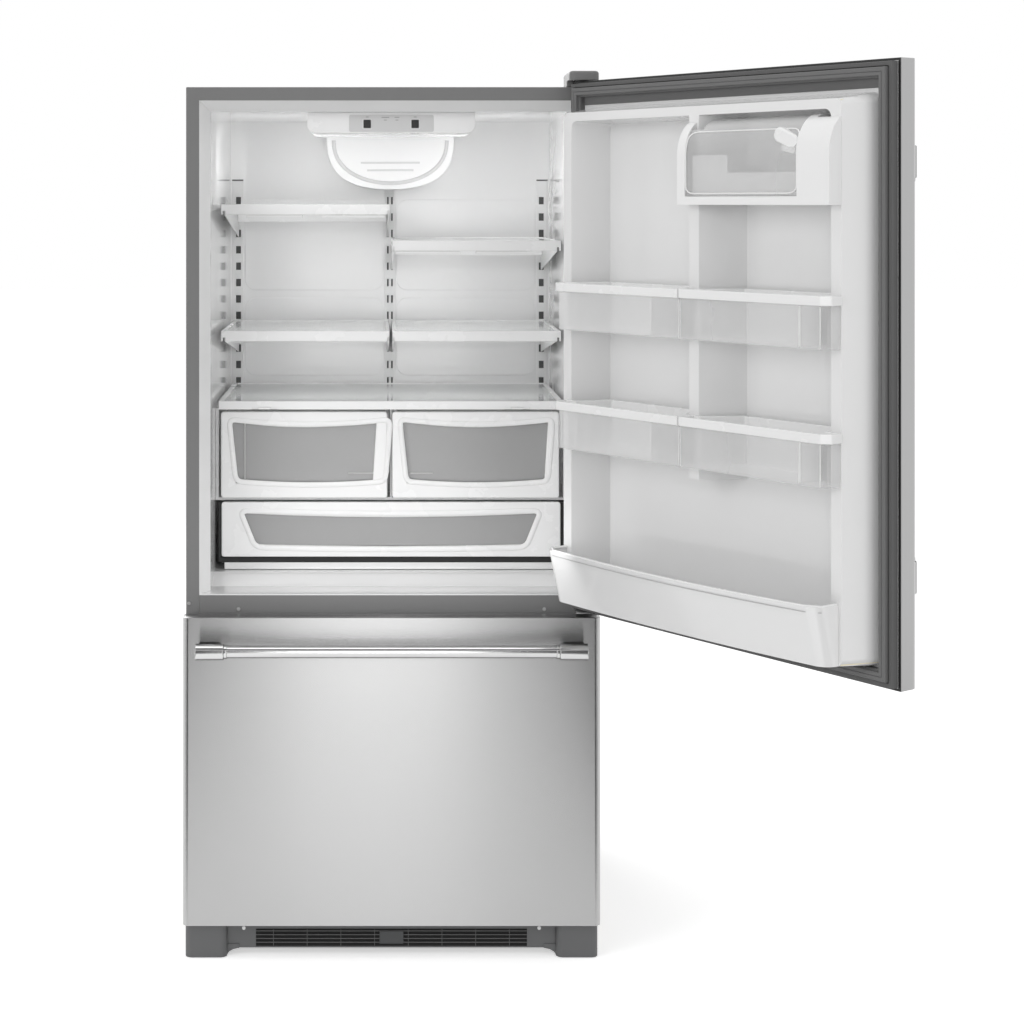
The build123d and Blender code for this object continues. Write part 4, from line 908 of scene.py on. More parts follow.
@dataclass
class Cabinet:
    """The steel cabinet, its rails, base and cooling system."""

    bench: Workbench
    softened: Tuple[Tuple[str, float, int, str], ...] = (
        ("toe_grille", 0.5, 2, ""), ("door_hinges", 0.8, 2, ""), ("crisper_cover", 2.0, 3, ""),
        ("shelf_frames", 2.2, 3, ""), ("shelf_brackets", 0.9, 2, ""), ("shelf_ladders", 0.8, 2, ""),
        ("control_housing", 2.4, 3, ""), ("light_cover", 6.0, 5, ""),
        ("evaporator_cover", 0.6, 2, ""), ("top_hinge_cover", 5.0, 5, "cap_plastic"),
    )
    # A black field over the grille that paints the shade seen through its openings.
    shade_field: Box = ((-272.5, 272.5), (-393.9, -390.0), (18.4, 53.0))
    slat: Box = ((-272.5, 272.5), (-395.2, -393.6), (25.4, 27.3))
    slat_pitch: float = 7.6
    tie: Box = ((-238.0, -236.8), (-394.6, -393.6), (19.4, 52.0))
    tie_pitch: float = 67.8
    clip: Box = ((-24.0, 24.0), (-397.0, -391.0), (24.0, 49.0))
    sheet: Box = ((-415.5, 415.5), (358.0, 359.0), (272.4, 1747.0))
    sheet_third: float = 138.5
    pressing: Tuple[Span, ...] = ((26.0, 0.0), (2.5, -0.85), (38.0, 0.0), (2.5, 0.7))
    guard: Triple = (1.4, 158.0, 548.0)
    guard_rings: Tuple[float, ...] = (16.0, 28.0, 40.0, 52.0)
    guard_wire: float = 0.9
    guard_faces: int = 40
    guard_spoke: float = 108.0
    guard_angles: Triple = (0.0, 60.0, 120.0)

    def build(self) -> None:
        """Builds the cabinet's pieces."""
        for node, width, segments, finish in self.softened:
            self.bench.soften(node, "cabinet", width, finish, segments)
        self.grille()
        self.rear_sheet()
        self.fan_guard()

    def grille(self) -> None:
        """A black field over the toe grille that paints the shade seen through its openings, thin
        slats and ties in front of it, and the tongue in its middle.
        """
        bench = self.bench
        shade_field = bench.plate("grille_screen", self.shade_field, 0.4, dishes=((2.0, -0.5),))
        bench.finish(shade_field, "cabinet", "grille_dark")
        slats = bench.plate("grille_slat", self.slat, 0.6)
        bench.repeat(slats, 4, (0.0, 0.0, self.slat_pitch))
        ties = bench.plate("grille_tie", self.tie, 0.3)
        bench.repeat(ties, 8, (self.tie_pitch, 0.0, 0.0))
        bench.finish(bench.join([slats, ties], "grille_slats"), "cabinet", "grille_slat")
        clip = bench.plate("grille_clip", self.clip, 0.7, dishes=((3.0, -0.9), (3.0, 0.7)))
        bench.finish(clip, "cabinet", "dark_plastic")

    def rear_sheet(self) -> None:
        """The back sheet with three pressed panels, over the slotted cover of the machine space."""
        bench = self.bench
        cover = bench.copy_of("rear_panels")
        seam = self.sheet[2][0] + 1.0
        with bench.picked(cover, faces=lambda centre, normal: centre.z > seam):
            bpy.ops.mesh.delete(type="FACE")
        sheet = bench.block("rear_sheet", self.sheet)
        for x in (-self.sheet_third, self.sheet_third):
            with bench.picked(sheet, faces=lambda centre, normal: True):
                bpy.ops.mesh.bisect(plane_co=(x * MM, 0.0, 0.0), plane_no=(1.0, 0.0, 0.0))
        with bench.picked(sheet, faces=lambda centre, normal: normal.y > ALONG):
            for inset, rise in self.pressing:
                bench.step(inset, INWARD, rise, single=True)
        pieces = [bench.smooth(cover), bench.smooth(sheet, 6.0)]
        bench.finish(bench.join(pieces, "rear_panels_finished"), "cabinet", "galvanised_sheet",
                     ("rear_panels",))

    def fan_guard(self) -> None:
        """The rings and spokes of the guard in front of the freezer's fan."""
        bench = self.bench
        x, y, z = self.guard
        turns = [math.tau * n / self.guard_faces for n in range(self.guard_faces)]
        parts = []
        for n, radius in enumerate(self.guard_rings):
            ring = [(x + radius * math.cos(turn), y, z + radius * math.sin(turn)) for turn in turns]
            parts.append(bench.bead(f"fan_guard_ring_{n}", ring, self.guard_wire))
        for n, angle in enumerate(self.guard_angles):
            spoke = bench.rod(
                f"fan_guard_spoke_{n}", self.guard, self.guard_wire, self.guard_spoke, sides=10)
            parts.append(bench.turn(spoke, angle, self.guard))
        bench.finish(bench.join(parts, "fan_guard"), "cabinet", "zinc_steel")


@dataclass
class FreshFood:
    """What is seen inside the upper compartment."""

    bench: Workbench
    slot_columns: Tuple[Span, ...] = ((-352.0, 5.5), (352.0, 5.5), (-4.75, 1.75), (4.75, 1.75))
    slot_depths: Span = (233.4, 234.2)
    lowest_slot: Span = (1052.3, 1069.3)
    slot_pitch: float = 38.1
    slot_count: int = 13
    fields: Tuple[Box, ...] = (
        ((-336.0, -16.0), (232.8, 234.3), (1310.0, 1520.0)),
        ((16.0, 336.0), (232.8, 234.3), (1310.0, 1520.0)),
        ((-336.0, -16.0), (232.8, 234.3), (1112.0, 1292.0)),
        ((16.0, 336.0), (232.8, 234.3), (1112.0, 1292.0)),
    )
    band_half: float = 127.0
    band_y: float = 73.2
    band_top: float = 1653.0
    band_drop: float = 96.0
    band_fullness: float = 0.85
    band_radius: float = 5.0
    band_steps: int = 24
    louvres: Tuple[Box, ...] = (
        ((-66.0, 66.0), (70.1, 71.6), (1600.8, 1605.2)),
        ((-52.0, 52.0), (70.1, 71.6), (1583.8, 1588.2)),
    )
    panel: Box = ((-87.0, 88.0), (-289.6, -288.6), (1659.5, 1695.0))
    mark_depths: Span = (-289.8, -289.4)
    mark_half: float = 0.7
    marks: Tuple[Triple, ...] = (
        (-12.0, 8.0, 1689.5), (12.0, 5.0, 1689.5), (-49.5, 3.0, 1690.5), (49.5, 3.0, 1690.5),
        (-12.0, 3.0, 1684.0), (12.0, 3.0, 1684.0),
    )
    keys: Tuple[Span, ...] = ((-59.0, -40.0), (40.0, 59.0))
    key_high: Span = (1665.5, 1686.5)
    key_corner: float = 3.0
    key_bead: float = 0.6
    retainers: Tuple[Box, ...] = (
        ((-305.0, -186.0), (-203.0, -190.0), (1481.5, 1487.5)),
        ((-146.0, -12.0), (-203.0, -190.0), (1481.5, 1487.5)),
        ((10.0, 147.0), (-203.0, -190.0), (1405.3, 1411.3)),
        ((179.0, 300.0), (-203.0, -190.0), (1405.3, 1411.3)),
    )
    anchors: Tuple[Box, ...] = (
        ((-367.0, -341.0), (233.2, 234.2), (1564.0, 1567.0)),
        ((341.0, 367.0), (233.2, 234.2), (1564.0, 1567.0)),
    )

    def build(self) -> None:
        """Builds the pieces of the compartment."""
        self.slots()
        self.back_fields()
        self.light()
        self.controls()
        self.ladder_trim()

    def slots(self) -> None:
        """Dark plates behind the slots of the shelf ladders, which paint the shade inside the
        slots.
        """
        bench = self.bench
        rows = []
        for n, (x, reach) in enumerate(self.slot_columns):
            box = ((x - reach, x + reach), self.slot_depths, self.lowest_slot)
            pocket = bench.plate(f"slot_shade_{n}", box, dishes=((1.0, 0.5),))
            rows.append(bench.repeat(pocket, self.slot_count, (0.0, 0.0, self.slot_pitch)))
        bench.finish(bench.join(rows, "slot_pockets"), "cabinet", "slot_shadow")

    def back_fields(self) -> None:
        """The raised fields that the liner's back wall is pressed into."""
        fields = self.bench.plates(
            "back_fields", self.fields, 1.2, segments=3, corner=24.0, dishes=((5.0, 0.0),))
        self.bench.finish(fields, "cabinet", "white_liner")

    def light(self) -> None:
        """The band along the light cover's outline and its louvres, in a darker white that paints
        the shade at the cover's rim and in the louvre grooves.
        """
        bench = self.bench
        line = []
        for n in range(self.band_steps + 1):
            angle = math.pi * n / self.band_steps
            height = self.band_top - self.band_drop * math.sin(angle) ** self.band_fullness
            line.append((self.band_half * math.cos(angle), self.band_y, height))
        # A darker band that paints the shade along the cover's rim.
        band = bench.bead("light_cover_band", line, self.band_radius, closed=False)
        bench.finish(band, "cabinet", "panel_white")
        louvres = bench.plates("light_cover_louvres", self.louvres, 0.4, dishes=((1.0, 0.6),))
        bench.finish(louvres, "cabinet", "panel_white")

    def controls(self) -> None:
        """The plate round the two keys, with plain marks that tell nothing but level."""
        bench = self.bench
        plate = bench.plate("control_plate", self.panel, 0.3, corner=4.0, corner_faces=4)
        bench.finish(plate, "cabinet", "panel_white")
        rise = self.mark_half
        strokes = [((x - half, x + half), self.mark_depths, (z - rise, z + rise))
                   for x, half, z in self.marks]
        bench.finish(bench.plates("control_marks", strokes, 0.15), "cabinet", "print_grey")
        surrounds = []
        for n, key in enumerate(self.keys):
            line = bench.rounded_outline(key, self.key_high, self.panel[1][0], self.key_corner)
            surrounds.append(bench.bead(f"key_surround_{n}", line, self.key_bead))
        bench.finish(bench.join(surrounds, "key_surrounds"), "cabinet", "white_plastic")
        for side in ("left", "right"):
            bench.soften(f"control_button_{side}", f"{side}_button", 1.2)

    def ladder_trim(self) -> None:
        """The strips under the upper shelves, and the dark anchor slots over the outer ladders,
        whose finish paints the shade inside them.
        """
        bench = self.bench
        strips = bench.plates("shelf_retainers", self.retainers, 0.8, corner=2.4, corner_faces=3)
        bench.finish(strips, "cabinet", "white_plastic")
        anchors = bench.plates("ladder_anchors", self.anchors, 0.3, dishes=((0.8, 0.4),))
        bench.finish(anchors, "cabinet", "slot_shadow")


@dataclass
class Drawers:
    """The crispers and the pantry drawer."""

    bench: Workbench
    front: float = -219.6
    pane_depths: Span = (-213.6, -211.6)
    windows: Tuple[Tuple[str, str, Span, Span], ...] = (
        ("crisper_window_left", "left_crisper", (-338.0, -28.0), (920.0, 1058.0)),
        ("crisper_window_right", "right_crisper", (22.0, 334.0), (920.0, 1058.0)),
        ("pantry_window", "pantry_drawer", (-314.0, 312.0), (793.0, 864.0)),
    )
    lips: Tuple[Tuple[str, str, Span, Span, Span, Span], ...] = (
        ("crisper_lip_left", "left_crisper",
         (-340.0, -1.0), (-326.0, -12.0), (928.6, 1059.4), (7.4, 11.0)),
        ("crisper_lip_right", "right_crisper",
         (18.0, 340.0), (31.6, 329.4), (928.6, 1059.4), (7.4, 11.0)),
        ("pantry_lip", "pantry_drawer",
         (-317.4, 315.4), (-285.4, 283.4), (789.4, 868.4), (3.7, 7.0)),
    )
    lip_reach: float = 5.8
    lip_corner: float = 11.0
    lip_flatness: float = 0.22
    lip_steps: int = 24
    rib: Triple = (-307.0, -214.4, 992.0)
    rib_length: float = 118.0
    # Pale bars behind the crisper windows that paint the highlights on the bins' floor folds.
    floor_glints: Tuple[Tuple[str, Box], ...] = (
        ("left", ((-90.0, -23.0), (-214.6, -213.1), (943.6, 946.6))),
        ("right", ((41.0, 88.0), (-214.6, -213.1), (943.6, 946.6))),
    )
    skirt: Box = ((-350.0, 350.0), (-213.1, -207.6), (743.0, 760.0))
    # Black strips that paint the shadow in the gap under and beside the pantry drawer.
    gap_shadows: Tuple[Box, ...] = (
        ((-363.5, 363.5), (-214.6, -208.6), (757.4, 769.6)),
        ((-363.5, -356.6), (-214.6, -208.6), (768.0, 884.0)),
        ((356.6, 363.5), (-214.6, -208.6), (768.0, 884.0)),
    )

    def build(self) -> None:
        """Builds the drawers' fronts and windows, and the black strips that paint the shadow in the
        gap round the pantry drawer.
        """
        bench = self.bench
        for side in ("left", "right"):
            bench.soften(f"crisper_{side}_front", f"{side}_crisper", 2.6, segments=4)
            bench.soften(f"humidity_slider_{side}", f"{side}_humidity_slider", 0.8, segments=2)
        bench.soften("pantry_front", "pantry_drawer", 2.6, segments=4)
        for name, body, x, z in self.windows:
            pane = bench.plate(name, (x, self.pane_depths, z), 0.4, dishes=((6.0, -0.6),))
            bench.finish(pane, body, "smoked_window")
        for lip in self.lips:
            self.window_lip(*lip)
        rib = bench.rod("crisper_rib", self.rib, 1.6, self.rib_length, 0.5)
        bench.finish(rib, "left_crisper", "liner_groove")
        for side, box in self.floor_glints:
            bench.finish(bench.plate(f"{side}_floor_glint", box, 0.6), f"{side}_crisper", "liner_groove")
        skirt = bench.plate("pantry_skirt", self.skirt, 1.0, dishes=((3.0, -0.8),))
        bench.finish(skirt, "pantry_drawer", "white_liner")
        gap_shadows = bench.plates("pantry_buffer", self.gap_shadows, 2.0, segments=3)
        bench.finish(gap_shadows, "pantry_drawer", "black_plastic")

    def window_lip(self, name: str, body: str, top: Span, foot: Span, high: Span,
                   drops: Span) -> None:
        """The soft lip round a window, with bowed long sides and rounded corners.

        Args:
            name: its name.
            body: the drawer that it rides on.
            top: its limits in x along the top.
            foot: its limits in x along the bottom.
            high: its lowest and highest corners.
            drops: how far the bottom and the top bow down in the middle.
        """
        bench, y = self.bench, self.front
        shares = [n / self.lip_steps for n in range(self.lip_steps + 1)]

        def bowed(x: Span, z: float, drop: float) -> List[Triple]:
            """A long side that bows down."""
            return [(x[0] + (x[1] - x[0]) * t, y, z - drop * 4.0 * t * (1.0 - t)) for t in shares]

        def straight(start: Triple, end: Triple) -> List[Triple]:
            """A short side."""
            return [tuple(a + (b - a) * t for a, b in zip(start, end)) for t in shares]

        upper, lower = bowed(top, high[1], drops[1]), bowed(foot[::-1], high[0], drops[0])
        sides = (upper, straight(upper[-1], lower[0]), lower, straight(lower[-1], upper[0]))
        lip = bench.bead(name, bench.turned_corners(sides, self.lip_corner), self.lip_reach)
        bench.choose(lip)
        bpy.ops.transform.resize(
            value=(1.0, self.lip_flatness, 1.0), center_override=(0.0, y * MM, 0.0))
        bench.finish(bench.settle(lip, name), body, "white_plastic")


@dataclass
class Door:
    """The open door with its liner and gasket."""

    bench: Workbench
    low: float = 693.6
    high: float = 1757.8
    half: float = 417.5
    rings: Tuple[Tuple[str, float, float, Tuple[Span, ...], float, str, Tuple[str, ...]], ...] = (
        # The outer lip wears a darker rubber that paints the shade along it.
        ("door_gasket_lip", 5.5, 44.0,
         ((0.1, 13.0), (0.8, 1.0), (6.6, 0.0), (0.8, -1.0), (0.1, -13.0)),
         0.4, "lip_rubber", ()),
        ("door_gasket_bulb", 14.9, 44.0,
         ((0.1, 19.4), (1.3, 1.6), (6.0, 0.0), (0.4, -1.2), (0.7, 0.0), (0.4, 1.2), (5.2, 0.0),
          (1.3, -1.6), (0.1, -5.0), (2.6, -2.5), (0.1, -11.8)),
         0.3, "grey_rubber", ("door_gasket",)),
        # A black ring at the steel's edge that paints the shadow in the gap between the gasket and
        # the steel.
        ("door_edge_strip", 0.3, 42.2,
         ((0.1, 1.8), (5.0, 0.0), (0.1, -1.8)),
         0.3, "black_plastic", ()),
    )
    fin: Box = ((-383.0, 383.0), (-382.1, -377.6), (1708.8, 1725.8))
    rim_half: float = 348.5
    rim_height: float = 837.5
    rim_depths: Triple = (124.0, 172.5, 196.5)
    rim_corner: float = 12.0
    rim_radius: float = 3.0
    rim_steps: int = 14
    rim_shadow_line_radius: float = 0.8
    rim_shadow_line_spread: float = 1.007
    rim_shadow_line_depth: float = 2.1
    rim_shadow_line_drop: float = 8.5

    def build(self) -> None:
        """Builds the door's pieces."""
        bench = self.bench
        bench.soften("door_skin", "fridge_door", 1.0, "door_stainless", angle=60.0)
        bench.soften("door_liner", "fridge_door", 3.0, angle=40.0)
        for ring in self.rings:
            self.ring(*ring)
        fin = bench.plate("door_gasket_fin", self.fin, 0.8, 3, dishes=((3.0, -0.8),), look=INWARD)
        bench.finish(bench.open_door(fin), "fridge_door", "grey_rubber")
        self.trough_bead()

    def ring(self, name: str, inset: float, depth: float, steps: Sequence[Span], width: float,
             finish: str, replaces: Sequence[str]) -> None:
        """A ring of the gasket, or the black strip of painted shadow at the steel's edge, that runs
        round the door.

        Args:
            name: its name.
            inset: how far inside the door's edge it starts.
            depth: the depth of its back.
            steps: its section.
            width: the rounding of its edges.
            finish: its finish.
            replaces: CAD nodes that it stands for.
        """
        half, low, high = self.half - inset, self.low + inset, self.high - inset
        y = LAYOUT.at(depth)
        outline = ((half, y, high), (-half, y, high), (-half, y, low), (half, y, low))
        piece = self.bench.profile_ring(name, outline, steps, width)
        self.bench.finish(self.bench.open_door(piece), "fridge_door", finish, replaces)

    def trough_bead(self) -> None:
        """The rolled rim of the lowest pocket, and a grey line under it that paints the shadow of
        the roll's undercut, along its bowed edge.
        """
        bench, half, height = self.bench, self.rim_half, self.rim_height
        back, end, middle = self.rim_depths
        line = [(-half, LAYOUT.at(back), height)]
        steps = self.rim_steps
        for n in range(-steps, steps + 1):
            drop = self.rim_corner if abs(n) == steps else 0.0
            depth = end + (middle - end) * (1.0 - (n / steps) ** 2) - drop
            line.append((half * n / steps, LAYOUT.at(depth), height))
        line.append((half, LAYOUT.at(back), height))
        rim = bench.bead("trough_rim", line, self.rim_radius, closed=False)
        bench.finish(bench.open_door(rim), "fridge_door", "white_plastic")
        under = [(x * self.rim_shadow_line_spread, y + self.rim_shadow_line_depth, z - self.rim_shadow_line_drop)
                 for x, y, z in line[1:-1]]
        # A grey line that paints the shadow under the rolled rim.
        rim_shadow_line = bench.bead("trough_undercut", under, self.rim_shadow_line_radius, closed=False)
        bench.finish(bench.open_door(rim_shadow_line), "fridge_door", "liner_groove")


@dataclass
class DoorBins:
    """The clear bins of the door with their rims and end walls."""

    bench: Workbench
    lows: Span = (1036.0, 1267.0)
    height: float = 74.0
    wall_xs: Span = (73.0, -294.0)
    wall_depths: Span = (56.0, 155.0)
    # Beads at the end walls, in white that paints their highlights.
    wall_highlights: Tuple[Span, ...] = ((154.0, 1.8), (59.0, 1.2))
    corners: Tuple[Span, ...] = ((-4.5, 156.6), (-8.6, 156.6), (-340.0, 154.0), (327.5, 154.0))

    def build(self) -> None:
        """Builds the bins' rims and end walls, and white beads that paint highlights along the
        bins' edges and corners.
        """
        bench = self.bench
        bench.soften("bin_rims", "fridge_door", 1.6)
        spans = [(low, low + self.height - 1.0) for low in self.lows]
        walls = [((x - 1.0, x + 1.0), LAYOUT.depths(self.wall_depths), (low + 2.6, high))
                 for low, high in spans for x in self.wall_xs]
        piece = bench.open_door(bench.plates("bin_end_walls", walls, 0.5))
        bench.finish(piece, "fridge_door", "clear_plastic")
        # White beads that paint the highlights along the bins' edges and corners.
        edges = []
        for low, high in spans:
            middle = (low + high) / 2
            for x in self.wall_xs:
                for depth, radius in self.wall_highlights:
                    at = (x, LAYOUT.at(depth), middle + 1.0)
                    edges.append(bench.rod("bin_edge", at, radius, high - low - 4.0, 0.4))
            for x, depth in self.corners:
                at = (x, LAYOUT.at(depth), middle)
                edges.append(bench.rod("bin_corner", at, 1.2, high - low - 2.0, 0.4))
        piece = bench.open_door(bench.join(edges, "bin_edges"))
        bench.finish(piece, "fridge_door", "clear_white_plastic")


@dataclass
class Dairy:
    """The dairy compartment with its lid, thumb grip and inner tray."""

    bench: Workbench
    lid_wide: Span = (-284.0, -14.5)
    lid_high: Span = (1530.0, 1641.0)
    lid_bend: float = 1598.0
    lid_radius: float = 80.0
    lid_depth: float = 150.4
    lid_corner: float = 13.0
    lid_highlight: float = 1.4
    lid_steps: int = 24
    grips: Tuple[Tuple[float, float, float, float, float, float], ...] = (
        (-256.0, 1624.0, 58.0, 27.0, 24.0, 148.0), (-262.0, 1606.0, 36.0, 17.0, 12.0, 147.0),
    )
    grip_back: float = 133.0
    tray: Tuple[Tuple[Span, Span, float], ...] = (
        ((-282.0, -105.0), (134.0, 136.0), 1567.0), ((-106.0, -16.0), (134.0, 136.0), 1599.0),
        ((-106.0, -104.0), (112.0, 136.0), 1599.0), ((-282.0, -280.0), (112.0, 136.0), 1567.0),
        ((-18.0, -16.0), (112.0, 136.0), 1599.0), ((-282.0, -16.0), (112.0, 114.0), 1567.0),
    )
    tray_floor: float = 1526.0

    def build(self) -> None:
        """Builds the compartment's pieces."""
        bench = self.bench
        bench.soften("dairy_housing", "fridge_door", 3.0)
        bench.soften("dairy_lid", "dairy_cover", 0.3, "smoked_lid", segments=2)
        self.lid_bead()
        self.grip()
        walls = [(x, LAYOUT.depths(depths), (self.tray_floor, top)) for x, depths, top in self.tray]
        tray = bench.open_door(bench.plates("dairy_tray", walls, 0.8))
        bench.finish(tray, "fridge_door", "milky_plastic")

    def lid_bead(self) -> None:
        """The thick edge of the clear lid, which follows its curve, in white that paints the
        highlight along it.
        """
        (left, right), (low, high) = self.lid_wide, self.lid_high
        radius, bend, steps = self.lid_radius, self.lid_bend, self.lid_steps

        def on_lid(x: float, z: float) -> Triple:
            """The point of the lid's face at a place."""
            lean = radius - math.sqrt(radius ** 2 - max(0.0, z - bend) ** 2)
            return (x, LAYOUT.at(self.lid_depth) - lean, z)

        corners = ((left, low), (right, low), (right, high), (left, high), (left, low))
        sides = [
            [on_lid(x0 + (x1 - x0) * n / steps, z0 + (z1 - z0) * n / steps)
             for n in range(steps + 1)]
            for (x0, z0), (x1, z1) in zip(corners, corners[1:])
        ]
        line = self.bench.turned_corners(sides, self.lid_corner)
        # The bead is the lid's thick edge, in white that paints its highlight.
        bead = self.bench.bead("dairy_lid_edge", line, self.lid_highlight)
        self.bench.finish(self.bench.open_door(bead), "dairy_cover", "clear_white_plastic")

    def grip(self) -> None:
        """The white shell-shaped thumb grip at the corner of the lid."""
        bench = self.bench
        lobes = []
        for n, (x, z, wide, tall, lean, depth) in enumerate(self.grips):
            y = LAYOUT.depths((self.grip_back, depth))
            box = ((x - wide / 2, x + wide / 2), y, (z - tall / 2, z + tall / 2))
            lobe = bench.plate(f"dairy_grip_{n}", box, 3.0, 4, corner=tall * 0.46, corner_faces=8,
                               dishes=((4.0, 1.2),), look=INWARD)
            lobes.append(bench.turn(lobe, lean, (x, y[0], z)))
        grip = bench.open_door(bench.join(lobes, "dairy_grip"))
        bench.finish(grip, "dairy_cover", "white_plastic")


@dataclass
class BarHandle:
    """A bar handle on two posts, with collared end caps."""

    bench: Workbench
    node: str
    body: str
    centre: Triple
    axis: str
    finish: str
    turned: bool = False
    half: float = 387.0
    cap: float = 56.0
    bar_radius: float = 12.0
    cap_radius: float = 15.96
    collar_radius: float = 13.6
    post: Span = (343.0, 383.0)
    post_half: float = 10.0
    face: float = -424.9

    def rod(self, offset: float, radius: float, length: float, edge: float) -> Piece:
        """A round part of the handle that lies so far from its middle.

        Args:
            offset: how far.
            radius: its radius.
            length: its length.
            edge: the rounding of its ends.

        Returns:
            The new piece.
        """
        x, y, z = self.centre
        place = (x + offset, y, z) if self.axis == "X" else (x, y, z + offset)
        return self.bench.rod(
            f"{self.node}_rod", place, radius, length, edge, 3, self.axis, sides=48, angle=60.0)

    def build(self) -> None:
        """Builds the handle in the place of its CAD node."""
        bench = self.bench
        shoulder = self.half - self.cap
        parts = [self.rod(0.0, self.bar_radius, 2 * shoulder + 8.0, 0.8)]
        x, y, z = self.centre
        for side in (-1.0, 1.0):
            middle = side * (self.half - self.cap / 2)
            parts.append(self.rod(middle, self.cap_radius, self.cap, 1.8))
            parts.append(self.rod(side * (shoulder - 3.0), self.collar_radius, 7.0, 1.2))
            parts.append(self.rod(side * (self.half - 9.0), self.cap_radius - 0.01, 1.6, 0.5))
            wide = (-self.post_half, self.post_half)
            long = sorted(side * reach for reach in self.post)
            across, up = (long, wide) if self.axis == "X" else (wide, long)
            box = ((x + across[0], x + across[1]), (y, self.face), (z + up[0], z + up[1]))
            parts.append(bench.plate(f"{self.node}_post", box, 1.6, 3))
        piece = bench.join(parts, f"{self.node}_finished")
        if self.turned:
            bench.open_door(piece)
        bench.finish(piece, self.body, self.finish, (self.node,))


@dataclass
class Freezer:
    """The freezer drawer and what slides with it."""

    bench: Workbench

    def build(self) -> None:
        """Builds the drawer's pieces."""
        bench = self.bench
        bench.soften("freezer_skin", "freezer_drawer", 2.6, segments=5, angle=60.0)
        bench.soften("freezer_inner", "freezer_drawer", 2.0)
        bench.soften("freezer_gasket", "freezer_drawer", 1.6)
        bench.soften("freezer_basket", "freezer_drawer", 1.2, segments=2)
        bench.soften("freezer_tray", "freezer_sliding_tray", 1.2, segments=2)


# ---------------------------------------------------------------- the studio


